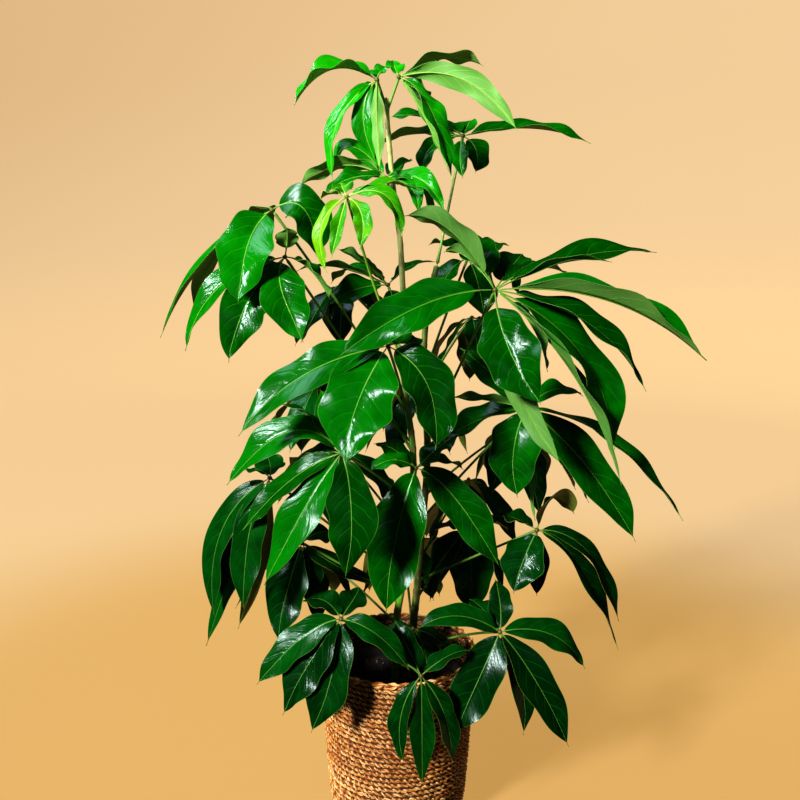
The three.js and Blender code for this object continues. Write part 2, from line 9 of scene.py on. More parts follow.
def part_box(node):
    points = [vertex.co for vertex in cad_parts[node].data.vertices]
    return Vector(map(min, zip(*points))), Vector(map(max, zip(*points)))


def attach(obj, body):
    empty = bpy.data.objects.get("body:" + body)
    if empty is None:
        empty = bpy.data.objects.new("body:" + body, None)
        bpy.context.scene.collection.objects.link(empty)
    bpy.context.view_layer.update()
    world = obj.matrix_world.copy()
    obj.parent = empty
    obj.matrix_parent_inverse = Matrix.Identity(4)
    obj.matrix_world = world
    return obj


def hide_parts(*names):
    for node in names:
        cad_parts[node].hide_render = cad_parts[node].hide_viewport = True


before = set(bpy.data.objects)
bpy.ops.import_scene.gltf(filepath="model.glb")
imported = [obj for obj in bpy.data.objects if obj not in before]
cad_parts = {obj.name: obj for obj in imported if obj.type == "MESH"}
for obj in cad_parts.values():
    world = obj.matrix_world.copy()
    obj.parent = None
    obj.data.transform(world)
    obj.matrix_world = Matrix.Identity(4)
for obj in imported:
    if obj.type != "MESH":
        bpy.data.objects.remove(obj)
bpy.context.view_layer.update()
mm = 0.001
print("frame loaded:", len(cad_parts), "nodes")

# The camera stands where the photograph was taken from; leaf places are read through it.
camera = {
    "spot": Vector((0.004, -1.670, 1.170)),
    "tilt": math.radians(12.6),
    "focal": 973,  # in pixels of the picture
    "picture": 800,
    "sensor": 36,  # millimetres
}
weld = 1e-6  # metres: corners closer than this are one corner


def newObject(name, data):
    made = bpy.data.objects.new(name, data)
    bpy.context.collection.objects.link(made)
    return made


def makeCamera():
    lens = bpy.data.cameras.new("camera")
    lens.sensor_width = camera["sensor"]
    lens.lens = camera["focal"] / camera["picture"] * camera["sensor"]
    eye = newObject("camera", lens)
    eye.location = camera["spot"]
    eye.rotation_euler = (math.pi / 2 - camera["tilt"], 0, 0)
    bpy.context.scene.camera = eye


# The point of the model at a place in the picture, across and down, and at a depth in millimetres.
def place(across, down, depth):
    tilt = camera["tilt"]
    forward = Vector((0, math.cos(tilt), -math.sin(tilt)))
    upward = Vector((0, math.sin(tilt), math.cos(tilt)))
    middle = camera["picture"] / 2
    ray = forward + upward * ((middle - down) / camera["focal"])
    ray.x += (across - middle) / camera["focal"]
    return camera["spot"] + ray * ((depth * mm - camera["spot"].y) / ray.y)


def eased(value, low, high):
    share = min(max((value - low) / (high - low), 0), 1)
    return share * share * (3 - 2 * share)


# A link in a shader, with arithmetic: an expression on wires adds its Math nodes.
class Wire:
    def __init__(self, paint, node, output=0):
        self.paint = paint
        self.node = node
        self.output = output

    def out(self, output):
        return Wire(self.paint, self.node, output)

    def sum(self, operation, *values):
        return self.paint.add("ShaderNodeMath", {"operation": operation}, dict(enumerate(values)))

    def __add__(self, other):
        return self.sum("ADD", self, other)

    __radd__ = __add__

    def __sub__(self, other):
        return self.sum("SUBTRACT", self, other)

    def __rsub__(self, other):
        return self.sum("SUBTRACT", other, self)

    def __mul__(self, other):
        return self.sum("MULTIPLY", self, other)

    __rmul__ = __mul__

    def __abs__(self):
        return self.sum("ABSOLUTE", self)

    def fract(self):
        return self.sum("FRACT", self)

    def above(self, level):
        return self.sum("GREATER_THAN", self, level)

    def fade(self, low, high):  # 0 at low, 1 at high, eased in between
        settings = {"interpolation_type": "SMOOTHSTEP"}
        return self.paint.add("ShaderNodeMapRange", settings, {0: self, 1: low, 2: high})


def tone(red, green, blue):  # a screen colour, 0 to 255, as the shader's linear one
    return tuple(pow((part / 255 + 0.055) / 1.055, 2.4) if part > 10 else part / 255 / 12.92
                 for part in (red, green, blue)) + (1,)


# A material under construction.
class Paint:
    def __init__(self, name, **constants):
        self.material = bpy.data.materials.new(name)
        self.material.use_nodes = True
        self.tree = self.material.node_tree
        self.shader = self.tree.nodes["Principled BSDF"]
        for socket, value in constants.items():
            self.shader.inputs[socket.replace("_", " ")].default_value = value

    def add(self, kind, settings, inputs):
        node = self.tree.nodes.new(kind)
        for name, value in settings.items():
            setattr(node, name, value)
        for socket, value in inputs.items():
            self.join(value, node.inputs[socket])
        return Wire(self, node)

    def join(self, value, socket):
        if isinstance(value, Wire):
            self.tree.links.new(value.node.outputs[value.output], socket)
        else:
            socket.default_value = value

    def spot(self):
        return self.add("ShaderNodeTexCoord", {}, {}).out("Object")

    def share(self, name):
        return self.add("ShaderNodeSeparateXYZ", {}, {0: self.add("ShaderNodeUVMap", {"uv_map": name}, {})})

    def number(self, name):
        return self.add("ShaderNodeAttribute", {"attribute_name": name}, {}).out("Fac")

    def stretch(self, vector, scale):
        return self.add("ShaderNodeMapping", {}, {0: vector, "Scale": scale})

    def grain(self, vector, scale, detail=2, rough=0.5):
        inputs = {"Vector": vector, "Scale": scale, "Detail": detail, "Roughness": rough}
        return self.add("ShaderNodeTexNoise", {}, inputs)

    def cells(self, vector, scale, feature="DISTANCE_TO_EDGE"):
        return self.add("ShaderNodeTexVoronoi", {"feature": feature}, {"Vector": vector, "Scale": scale})

    def blend(self, first, second, factor):  # of links or screen colours
        ends = [tone(*end) if isinstance(end, tuple) else end for end in (first, second)]
        mix = self.add("ShaderNodeMix", {"data_type": "RGBA"}, {0: factor, 6: ends[0], 7: ends[1]})
        return mix.out(2)

    def finish(self, colour, roughness, height, depth, strength=1):
        bump = self.add("ShaderNodeBump", {}, {"Height": height, "Distance": depth, "Strength": strength})
        self.join(colour, self.shader.inputs["Base Color"])
        self.join(roughness, self.shader.inputs["Roughness"])
        self.join(bump, self.shader.inputs["Normal"])
        return self.material


# Leaf looks by age: the blade's two greens, its veins and midrib, its underside and its stalk, the
# gloss, and the form: rise of a plainly folded half as an angle, how far the margins curl back, how
# far they swing up and down, and breadth. Last comes a slot name.
leafLooks = {
    "lime": {
        "deep": (50, 158, 2), "fresh": (146, 220, 8), "vein": (160, 222, 50), "rib": (208, 238, 120),
        "under": (150, 200, 84), "stalk": (134, 200, 46),
        "gloss": 0.15, "fold": 0.5, "sag": 0.2, "ruffle": 0.08, "breadth": 1.08,
        "slot": "leaf_young",
    },
    "young": {
        "deep": (2, 112, 0), "fresh": (30, 190, 4), "vein": (90, 200, 40), "rib": (170, 224, 96),
        "under": (124, 176, 84), "stalk": (130, 180, 64),
        "gloss": 0.12, "fold": 0.5, "sag": 0.2, "ruffle": 0.08, "breadth": 1.12,
        "slot": "leaf_young",
    },
    "green": {
        "deep": (0, 78, 0), "fresh": (3, 136, 2), "vein": (56, 168, 30), "rib": (146, 208, 80),
        "under": (118, 164, 76), "stalk": (118, 168, 56),
        "gloss": 0.11, "fold": 0.36, "sag": 0.14, "ruffle": 0.045, "breadth": 1.05,
        "slot": "leaf_green",
    },
    "dark": {
        "deep": (0, 64, 0), "fresh": (2, 118, 4), "vein": (36, 140, 26), "rib": (124, 188, 66),
        "under": (112, 156, 76), "stalk": (92, 140, 44),
        "gloss": 0.11, "fold": 0.32, "sag": 0.12, "ruffle": 0.05, "breadth": 1.04,
        "slot": "leaf_mature",
    },
    # Darker greens, partly those of older leaves and partly painted shade, for the lower leaves that get less
    # light; the olive-brown underside is painted warm bounced light.
    "old_and_painted_shade": {
        "deep": (0, 36, 5), "fresh": (0, 80, 10), "vein": (26, 106, 24), "rib": (96, 152, 56),
        "under": (126, 122, 50), "stalk": (92, 128, 46),
        "gloss": 0.14, "fold": 0.3, "sag": 0.12, "ruffle": 0.04, "breadth": 1.06,
        "slot": "leaf_mature",
    },
}
bladeLook = {
    "columns": 12,
    "rows": 52,
    "crowding": 0.085,  # how far the rows crowd towards the foot and the tip
    "thickness": 0.7,  # millimetres, as the next two
    "leastHalf": 0.3,
    "ribWidth": 2.0,
    "ribTaper": 1.6,
    "foldSpread": (0.7, 1.3),  # draws, as shares of the plain fold
    "flankSpread": (0.85, 1.15),
    "foldedRuffle": 1.2,
    "ruffles": (1.7, 3.1),  # along one margin
    "bay": 0.085,  # swing of the outline in and out
    "wave": 0.05,  # one margin up and the other down, by turns along the blade
    "waveStart": 0.18,
    "halfWave": 0.303,
    "hook": 0.08,  # swing of the tip to one side
    "hookStart": 0.55,
    "twist": 0.55,  # turn from foot to tip
    "twistCentre": 0.4,
    "lean": 0.22,
    "veinPairs": 7.5,
    "veinSweep": 0.12,
    "veinCurl": 0.11,
    "veinDrift": 0.07,
    "quilting": 0.3,  # millimetres that the skin bulges between veins
    "clouds": 38,  # patches to the metre, as the next three
    "underClouds": 50,
    "flecks": 420,
    "net": 260,
    "margin": (110, 165, 70),
}


# Side veins of a blade: a count that grows along it and is whole on each vein, and the beat, 1 on a
# vein and 0 midway.
def veinSweep(sideways, along, cloud):
    across = abs(sideways)
    bent = across * bladeLook["veinSweep"] + across * across * bladeLook["veinCurl"]
    sweep = along - bent + cloud * bladeLook["veinDrift"]
    return sweep * bladeLook["veinPairs"] + sideways.above(0) * 0.5


def veinBeat(sweep):
    return abs(sweep.fract() * 2 - 1)


def veinNet(paint, spot):  # the fine mesh between the veins
    return 1 - paint.cells(spot, bladeLook["net"]).fade(0, 0.12)


def bladePaint(age, look):
    paint = Paint("blade_" + age, Specular_IOR_Level=0.24, Specular_Tint=(0.8, 0.98, 1, 1))
    share = paint.share("leaf")
    spot = paint.spot()
    sideways = share.out(0) * 2 - 1
    across = abs(sideways)
    tint = paint.number("tint")
    cloud = paint.grain(spot, bladeLook["clouds"], 3)
    flecks = paint.grain(spot, bladeLook["flecks"], 2, 0.6)
    sweep = veinSweep(sideways, share.out(1), cloud)
    beat = veinBeat(sweep)
    veins = beat.fade(0.9, 0.99) * (1 - across.fade(0.6, 0.95))
    field = paint.add("ShaderNodeCombineXYZ", {}, {0: sweep * 7, 1: sideways * 3.4, 2: tint * 60})
    sinews = paint.grain(field, 1, 3, 0.55)
    net = veinNet(paint, spot)
    breadth = paint.number("reach") + share.out(1) * bladeLook["ribTaper"]
    rib = 1 - breadth.fade(0.4, bladeLook["ribWidth"])
    mottle = (cloud * 0.9 + tint * 0.75 - 0.4).fade(0, 1)
    colour = paint.blend(look["deep"], look["fresh"], mottle)
    colour = paint.blend(colour, look["vein"], veins * 0.45 + net * 0.03)
    colour = paint.blend(colour, look["rib"], rib * 0.6)
    colour = paint.blend(colour, bladeLook["margin"], across.fade(0.965, 0.99) * 0.4)
    roughness = flecks * 0.1 + sinews * 0.1 + (look["gloss"] - 0.04)
    furrows = beat.fade(0.55, 1) * -0.4 * (1 - across.fade(0.75, 1))
    height = furrows + sinews * 0.85 + flecks * 0.1 + net * 0.06
    return paint.finish(colour, roughness, height, 0.5 * mm)


def undersidePaint(age, look):
    paint = Paint("underside_" + age)
    share = paint.share("leaf")
    spot = paint.spot()
    sideways = share.out(0) * 2 - 1
    cloud = paint.grain(spot, bladeLook["underClouds"], 3)
    beat = veinBeat(veinSweep(sideways, share.out(1), cloud))
    veins = beat.fade(0.82, 0.98) * (1 - abs(sideways).fade(0.7, 0.96))
    net = veinNet(paint, spot)
    rib = 1 - paint.number("reach").fade(0.6, 2.2)
    colour = paint.blend(look["under"], look["vein"], cloud * 0.6)
    colour = paint.blend(colour, look["rib"], veins * 0.45 + rib * 0.5)
    height = veins * 0.6 + net * 0.2 + cloud * 0.2
    return paint.finish(colour, 0.5 + cloud * 0.15, height, 0.5 * mm, 0.7)


# Leaf stalk, in millimetres: its radius, how much wider it is at its foot and at its head, how fast
# that fades, and the knuckle on its head. Then a leaflet's own stalk, wider at both ends, and its
# midrib, thick at the blade's foot and thin at the tip, which stands a little proud of the blade.
stalkLook = {
    "sides": 8, "steps": 44, "radius": 2.3, "foot": 1.6, "footFade": 22, "head": 1.0, "headFade": 30,
    "knuckle": 4.2, "knobs": 0.25, "knobScale": 260, "fleck": (120, 96, 40), "bark": (104, 66, 30),
    "ribSides": 6, "ribSteps": 34, "slim": 1.15, "joint": 0.5, "thick": 1.35, "thin": 0.3, "proud": 0.3,
}


def stalkPaint(age, look):
    paint = Paint("stalk_" + age, Coat_Weight=0.1)
    spot = paint.spot()
    streaks = paint.grain(paint.stretch(spot, (1, 1, 0.25)), 260, 3)
    flecks = paint.grain(spot, 70, 2).fade(0.56, 0.75)
    colour = paint.blend(look["stalk"], look["rib"], paint.number("pale") * 0.75 + streaks * 0.2)
    colour = paint.blend(colour, stalkLook["fleck"], flecks * 0.35)
    colour = paint.blend(colour, stalkLook["bark"], paint.number("tint") * 0.7)
    return paint.finish(colour, 0.36 + streaks * 0.18, streaks, 0.3 * mm, 0.5)


leafPaints = {age: (bladePaint(age, look), undersidePaint(age, look), stalkPaint(age, look))
              for age, look in leafLooks.items()}
print("leaf finishes ready")


# A route that is read by the share of its length.
class Route:
    def __init__(self, points):
        self.points = points
        self.marks = [0]
        for before, after in zip(points, points[1:]):
            self.marks.append(self.marks[-1] + (after - before).length)
        self.length = self.marks[-1]

    def at(self, share):
        goal = min(max(share, 0), 1) * self.length
        step = 1
        while step < len(self.marks) - 1 and self.marks[step] < goal:
            step += 1
        low, high = self.marks[step - 1], self.marks[step]
        return self.points[step - 1].lerp(self.points[step], (goal - low) / (high - low))

    def heading(self, share, nudge=0.01):
        return (self.at(share + nudge) - self.at(share - nudge)).normalized()


def bentRoute(start, control, end, steps=60):
    points = []
    for step in range(steps + 1):
        t = step / steps
        points.append(start * (1 - t) ** 2 + control * (2 * t * (1 - t)) + end * t ** 2)
    return Route(points)


# Smooth route through points, with the knots spaced by the square root of their distance.
def smoothRoute(points, steps=16):
    knots = [points[0] * 2 - points[1], *points, points[-1] * 2 - points[-2]]
    made = [points[0]]
    for a, b, c, d in zip(knots, knots[1:], knots[2:], knots[3:]):
        first, middle, last = (b - a).length ** 0.5, (c - b).length ** 0.5, (d - c).length ** 0.5
        leave = ((b - a) / first - (c - a) / (first + middle) + (c - b) / middle) * middle
        arrive = ((c - b) / middle - (d - b) / (middle + last) + (d - c) / last) * middle
        square = (c - b) * 3 - leave * 2 - arrive
        cubic = (b - c) * 2 + leave + arrive
        for step in range(1, steps + 1):
            t = step / steps
            made.append(b + leave * t + square * t ** 2 + cubic * t ** 3)
    return Route(made)


# Numbers on the corners: tint shades a blade or a fibre and marks a knuckle or a scar, reach is the
# millimetres from a blade's midrib, and the last number lightens a stalk, and on a fibre says how deep it
# lies, which darkens it as painted shade.
def newMesh():
    bm = bmesh.new()
    bm.loops.layers.uv.new("leaf")
    for number in ("tint", "reach", "pale"):
        bm.verts.layers.float.new(number)
    return bm


def dress(faces, paint, smooth=True):
    for face in faces:
        face.material_index = paint
        face.smooth = smooth


# A grid bent into shape: form(u, v) places each corner, with u and v from 0 to 1.
def bentGrid(bm, columns, rows, form, paint=0, **numbers):
    made = bmesh.ops.create_grid(bm, x_segments=columns, y_segments=rows, size=0.5, calc_uvs=True)["verts"]
    layers = {bm.verts.layers.float[name]: value for name, value in numbers.items()}
    for corner in made:
        corner.co = form(corner.co.x + 0.5, corner.co.y + 0.5)
        for layer, value in layers.items():
            corner[layer] = value
    faces = {face for corner in made for face in corner.link_faces}
    dress(faces, paint)
    return made, list(faces)


# Round tube along a route. It closes where its radius is 0 and where its ends meet.
def tube(bm, route, radius, sides, steps, shift=None, paint=0, **numbers):
    rings = []
    side = route.heading(0).orthogonal()
    for step in range(steps + 1):
        share = step / steps
        ahead = route.heading(share)
        side = (side - ahead * side.dot(ahead)).normalized()
        centre = route.at(share) + (shift(share) if shift else Vector())
        rings.append((centre, side, ahead.cross(side), radius(share)))

    def wall(u, v):
        centre, out, up, reach = rings[round(v * steps)]
        return centre + (out * math.cos(u * math.tau) + up * math.sin(u * math.tau)) * reach

    corners, _ = bentGrid(bm, sides, steps, wall, paint, **numbers)
    bmesh.ops.remove_doubles(bm, verts=corners, dist=weld)
    return [corner for corner in corners if corner.is_valid]


def meshObject(name, bm, paints):
    mesh = bpy.data.meshes.new(name)
    bm.to_mesh(mesh)
    bm.free()
    for paint in paints:
        mesh.materials.append(paint)
    return newObject(name, mesh)


def addPiece(name, bm, paints, slot, *nodes):
    piece = meshObject(name, bm, paints)
    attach(piece, "root")
    if nodes:
        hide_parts(*nodes)
    return piece


# The canes, as in the model: radius at the root and at the top, and the places on the way up.
canes = {
    "main": {
        "foot": 7.5, "top": 4,
        "places": [
            (396, 625, -20), (403, 580, -16), (412, 500, -10), (413, 450, -8), (405, 385, -8),
            (407, 340, -10), (403, 290, -12), (400, 240, -12), (393, 185, -10), (388, 130, -8),
            (386, 97, -8),
        ],
    },
    "right": {
        "foot": 8, "top": 5,
        "places": [
            (413, 630, 30), (418, 580, 34), (422, 525, 36), (427, 470, 38), (427, 410, 40), (424, 350, 42),
            (429, 300, 46), (437, 265, 50),
        ],
    },
}
soilTop = 254.3 * mm
rootDepth = 120 * mm
rootLean = 0.8  # the root's distance from the pot's middle, as a share of the first place's
caneSamples = 200

for cane in canes.values():
    spots = [place(*spot) for spot in cane["places"]]
    root = Vector((spots[0].x * rootLean, spots[0].y * rootLean, soilTop - rootDepth))
    cane["route"] = smoothRoute([root] + spots)


def caneCentre(cane, height):
    route = canes[cane]["route"]
    samples = [route.at(step / caneSamples) for step in range(caneSamples + 1)]
    return next((spot for spot in samples if spot.z >= height), samples[-1])


# The leaves, as in the model. Each has its cane and the height that its stalk leaves it at, the
# stalk's arch, its hub, the length of its leaflet stalks, and its leaflets: tip across and down,
# how far the tip is ahead of the hub, middle across and down, width, turn to the viewer, and the rise
# of the margins by the half width where a leaflet is folded more than plain.
leaves = {
    "leaf_crown_left": {
        "cane": "main", "height": 1288, "arch": 0, "hub": (377, 80, -14), "stalk": 12, "age": "young",
        "leaflets": [
            (294, 105, 40, 332, 69, 44, 0.3, 0.8), (333, 181, 18, 338, 122, 34, 0.5, 0.6),
            (375, 161, 16, 363, 113, 36, 0.35, 0.45), (380, 171, 70, 377, 120, 22, -0.6, 0.5),
            (388, 66, -60, 380, 72, 30, 0), (366, 122, -50, 366, 96, 40, 0),
        ],
    },
    "leaf_crown_right": {
        "cane": "main", "height": 1280, "arch": 0, "hub": (399, 77, -12), "stalk": 12, "age": "young",
        "leaflets": [
            (394, 60, -50, 395, 68, 30, 0), (483, 66, -30, 446, 58, 40, -0.35, 0.35),
            (517, 132, 60, 464, 80, 38, -0.85, 0.35), (453, 181, 70, 430, 108, 38, 0.3, 0.5),
            (449, 172, 20, 422, 112, 32, -0.3, 0.5), (424, 110, -70, 416, 88, 42, 0),
        ],
    },
    "leaf_upper_back": {
        "cane": "right", "height": 1040, "arch": 0, "hub": (463, 136, 95), "stalk": 14, "age": "green",
        "leaflets": [
            (591, 144, -20, 532, 128, 48, 0.2, 0.5), (462, 178, 50, 460, 154, 34, 0.3, 0.5),
            (476, 173, 40, 476, 150, 48, 0.2, 0.4), (388, 118, -30, 424, 117, 46, 0.2, 0.4),
            (375, 148, 10, 411, 134, 42, -0.3, 0.45), (422, 175, 40, 432, 146, 38, 0.2),
            (443, 119, -70, 452, 126, 36, 0), (471, 120, -95, 467, 127, 38, 0),
        ],
    },
    "leaf_upper_mid": {
        "cane": "main", "height": 1130, "arch": 0, "hub": (386, 178, -30), "stalk": 10, "age": "young",
        "leaflets": [
            (299, 187, -22, 343, 165, 38, -0.35, 0.4), (331, 167, -30, 353, 147, 40, 0.4),
            (323, 196, 45, 352, 178, 36, 0.4, 0.5), (443, 212, 60, 421, 180, 36, 0.45, 0.6),
            (419, 214, 80, 411, 188, 30, 0.4, 0.6), (429, 222, 30, 423, 192, 28, -0.5, 0.6),
            (412, 160, -70, 400, 166, 36, 0),
        ],
    },
    "leaf_young": {
        "cane": "main", "height": 850, "arch": -30, "hub": (347, 197, -120), "stalk": 10, "age": "lime",
        "leaflets": [
            (320, 199, -20, 333, 193, 26, 0.2), (422, 192, -10, 385, 183, 26, 0.2, 0.5),
            (402, 237, 30, 385, 195, 30, 0.5, 0.5), (360, 249, 50, 362, 216, 32, 0.4, 0.5),
            (332, 258, 40, 339, 225, 25, 0.3, 0.6), (326, 273, 20, 322, 226, 27, 0.2, 0.6),
            (341, 183, -25, 343, 189, 34, 0),
        ],
    },
    "leaf_left_upper": {
        "cane": "main", "height": 770, "arch": 20, "hub": (272, 210, -30), "stalk": 16, "age": "green",
        "leaflets": [
            (318, 257, 40, 303, 208, 76, 0.6), (241, 304, 95, 248, 244, 94, 0.6),
            (193, 310, -30, 217, 256, 44, -0.3, 0.4), (160, 338, 0, 205, 262, 38, 0.25, 0.6),
            (255, 250, -110, 262, 214, 60, 0),
        ],
    },
    "leaf_left": {
        "cane": "main", "height": 700, "arch": 10, "hub": (285, 257, -60), "stalk": 16, "age": "green",
        "leaflets": [
            (306, 341, 80, 281, 288, 74, 0.5), (232, 363, 50, 246, 305, 76, 0.8),
            (185, 351, 10, 218, 288, 50, 0.4), (287, 227, 12, 287, 241, 40, 0),
            (262, 318, -50, 270, 284, 60, 0), (330, 300, -10, 309, 268, 56, 0),
        ],
    },
    "leaf_behind_centre": {
        "cane": "right", "height": 760, "arch": 10, "hub": (388, 285, 85), "stalk": 12, "age": "dark",
        "leaflets": [
            (337, 248, -20, 362, 260, 46, -0.3), (436, 262, -40, 411, 266, 52, 0.1),
            (330, 284, -50, 356, 268, 58, 0), (296, 272, 20, 335, 266, 42, -0.2),
            (328, 306, 20, 354, 290, 62, 0.4), (395, 334, 40, 394, 306, 54, 0.3),
        ],
    },
    "leaf_behind_right": {
        "cane": "right", "height": 830, "arch": 10, "hub": (468, 258, 135), "stalk": 14, "age": "dark",
        "leaflets": [
            (428, 245, -20, 446, 244, 54, 0), (510, 246, -30, 490, 246, 54, 0),
            (520, 296, 20, 498, 264, 60, 0.1), (438, 304, 20, 448, 274, 62, 0.2),
            (484, 318, 40, 478, 284, 64, 0.2), (470, 240, -130, 470, 246, 56, 0),
        ],
    },
    "leaf_big": {
        "cane": "right", "height": 720, "arch": 0, "hub": (495, 290, -130), "stalk": 34, "age": "dark",
        "leaflets": [
            (403, 216, 0, 450, 230, 52, -0.45, 0.45), (444, 252, -60, 467, 257, 44, -0.4, 0.5),
            (472, 234, -120, 479, 254, 62, 0), (339, 358, 60, 420, 306, 74, 0.7),
            (540, 405, 105, 507, 344, 92, 0.8), (562, 467, 62, 517, 386, 46, -0.7),
            (548, 372, 10, 530, 322, 50, 0), (622, 486, 50, 572, 372, 56, -0.2, 0.5),
            (614, 450, 10, 581, 354, 90, 0.5, 0.35), (647, 390, 0, 588, 323, 64, 0.3, 0.45),
            (707, 360, 10, 610, 301, 64, 0.22, 0.87), (657, 253, -80, 582, 256, 64, 0.3, 0.4),
            (612, 262, -30, 560, 263, 34, -0.3, 0.5), (524, 254, -150, 512, 266, 60, 0),
            (570, 276, -130, 536, 268, 56, 0),
        ],
    },
    "leaf_right": {
        "cane": "right", "height": 560, "arch": 10, "hub": (527, 408, -60), "stalk": 14, "age": "dark",
        "leaflets": [
            (515, 498, 60, 514, 448, 88, 0.85), (683, 521, 30, 612, 440, 48, 0.15),
            (634, 543, 50, 588, 468, 74, 0.6), (589, 503, -10, 560, 452, 54, 0.2),
            (450, 398, -20, 488, 400, 40, -0.3), (583, 396, -70, 556, 389, 46, 0.2),
            (536, 521, 20, 529, 478, 40, -0.5), (459, 349, -60, 492, 374, 54, 0.4),
            (430, 452, -75, 474, 422, 72, 0.4),
        ],
    },
    "leaf_front": {
        "cane": "main", "height": 760, "arch": 10, "hub": (388, 346, -150), "stalk": 14, "age": "dark",
        "leaflets": [
            (343, 465, 90, 358, 402, 112, 0.8), (238, 436, 40, 302, 376, 68, 0.6),
            (433, 450, 60, 428, 386, 84, 0.6), (424, 340, -60, 405, 341, 44, 0.2),
            (404, 326, -90, 397, 336, 50, 0),
        ],
    },
    "leaf_left_mid": {
        "cane": "main", "height": 605, "arch": 10, "hub": (342, 453, -120), "stalk": 14, "age": "dark",
        "leaflets": [
            (228, 487, -10, 288, 432, 60, 0.5), (243, 531, 0, 291, 480, 50, 0.5),
            (265, 586, 40, 306, 506, 66, 0.6), (349, 579, 80, 351, 506, 80, 0.5),
            (288, 466, -75, 311, 454, 56, 0.1), (277, 404, -60, 309, 416, 48, -0.3),
            (318, 390, -100, 331, 416, 54, 0.3),
        ],
    },
    "leaf_left_low": {
        "cane": "main", "height": 460, "arch": 0, "hub": (270, 478, -80), "stalk": 12, "age": "old_and_painted_shade",
        "leaflets": [
            (245, 611, 50, 249, 534, 54, 0.6), (214, 618, 10, 221, 532, 58, 0.55),
            (205, 645, -30, 234, 566, 50, 0.62), (239, 629, -10, 259, 556, 46, -0.6),
            (246, 470, -40, 259, 470, 36, 0), (266, 455, -100, 270, 464, 50, 0),
        ],
    },
    "leaf_low_behind_left": {
        "cane": "main", "height": 418, "arch": 10, "hub": (302, 543, -10), "stalk": 12, "age": "old_and_painted_shade",
        "leaflets": [
            (275, 641, 50, 288, 588, 74, 0.6), (309, 598, 20, 309, 566, 46, 0.2),
            (379, 583, 20, 341, 568, 48, 0.25), (331, 532, -60, 317, 533, 52, 0.3),
            (262, 566, -30, 281, 547, 54, 0.1), (300, 545, -120, 301, 535, 56, 0),
        ],
    },
    "leaf_centre": {
        "cane": "main", "height": 600, "arch": 0, "hub": (416, 468, -45), "stalk": 10, "age": "dark",
        "leaflets": [
            (383, 614, 60, 397, 533, 104, 0.8), (499, 568, 40, 455, 498, 68, 0.6),
            (374, 443, -30, 393, 449, 44, 0.3), (370, 472, 20, 392, 460, 40, 0.2),
            (463, 432, 0, 443, 444, 54, 0.3), (464, 470, -20, 443, 461, 42, 0),
        ],
    },
    "leaf_right_low": {
        "cane": "right", "height": 440, "arch": 0, "hub": (537, 530, -50), "stalk": 10, "age": "old_and_painted_shade",
        "leaflets": [
            (512, 593, 50, 524, 559, 74, 0.5), (575, 514, -40, 554, 497, 60, -0.35),
            (618, 622, 0, 588, 552, 42, 0.35), (618, 650, 20, 580, 566, 50, 0.45),
            (497, 514, -40, 517, 519, 54, 0), (537, 596, 10, 537, 564, 40, 0.1),
        ],
    },
    "leaf_low_behind_right": {
        "cane": "right", "height": 400, "arch": 10, "hub": (466, 528, 75), "stalk": 12, "age": "old_and_painted_shade",
        "leaflets": [
            (472, 613, 30, 471, 566, 82, 0.4), (430, 602, 20, 444, 558, 66, 0.2),
            (504, 596, 10, 489, 554, 62, 0.2), (428, 536, 0, 446, 526, 58, 0),
            (508, 530, -50, 489, 522, 58, 0),
        ],
    },
    "leaf_low_inner": {
        "cane": "main", "height": 345, "arch": 10, "hub": (413, 629, -60), "stalk": 8, "age": "old_and_painted_shade",
        "leaflets": [
            (391, 652, 20, 400, 631, 42, 0.4), (426, 673, 20, 424, 649, 48, 0.5),
            (452, 656, -5, 436, 638, 40, 0.3), (387, 641, -50, 399, 632, 34, 0.1),
        ],
    },
    "leaf_rim_right": {
        "cane": "right", "height": 300, "arch": 20, "hub": (500, 632, -110), "stalk": 8, "age": "old_and_painted_shade",
        "leaflets": [
            (493, 579, -70, 500, 602, 42, 0), (418, 628, 10, 458, 616, 48, 0.5),
            (454, 733, 50, 483, 670, 76, 0.85), (570, 746, 40, 534, 678, 62, 0.6),
            (524, 735, 0, 522, 688, 44, 0.5), (586, 667, 10, 550, 634, 54, 0.6),
            (468, 600, -90, 484, 610, 46, 0),
        ],
    },
    "leaf_rim_left": {
        "cane": "main", "height": 300, "arch": 20, "hub": (341, 619, -140), "stalk": 8, "age": "old_and_painted_shade",
        "leaflets": [
            (302, 602, -60, 323, 600, 50, 0.3), (258, 686, 10, 301, 638, 54, 0.6),
            (281, 714, 30, 311, 660, 72, 0.6), (313, 734, 50, 332, 674, 72, 0.6),
            (410, 670, 45, 376, 634, 46, 0.6), (362, 588, -70, 353, 600, 48, 0),
        ],
    },
    "leaf_rim_front": {
        "cane": "main", "height": 285, "arch": 30, "hub": (421, 676, -168), "stalk": 12, "age": "old_and_painted_shade",
        "leaflets": [
            (403, 764, 12, 401, 716, 40, 0.6, 0.4), (422, 785, 20, 422, 730, 42, 0.6, 0.4),
            (451, 764, 10, 445, 716, 40, 0.6, 0.4), (394, 621, -60, 406, 644, 42, 0),
            (470, 650, -30, 448, 656, 38, 0.1), (438, 668, -30, 430, 669, 24, 0),
        ],
    },
}
middleAhead = 0.55  # share of a tip's reach ahead that its middle has

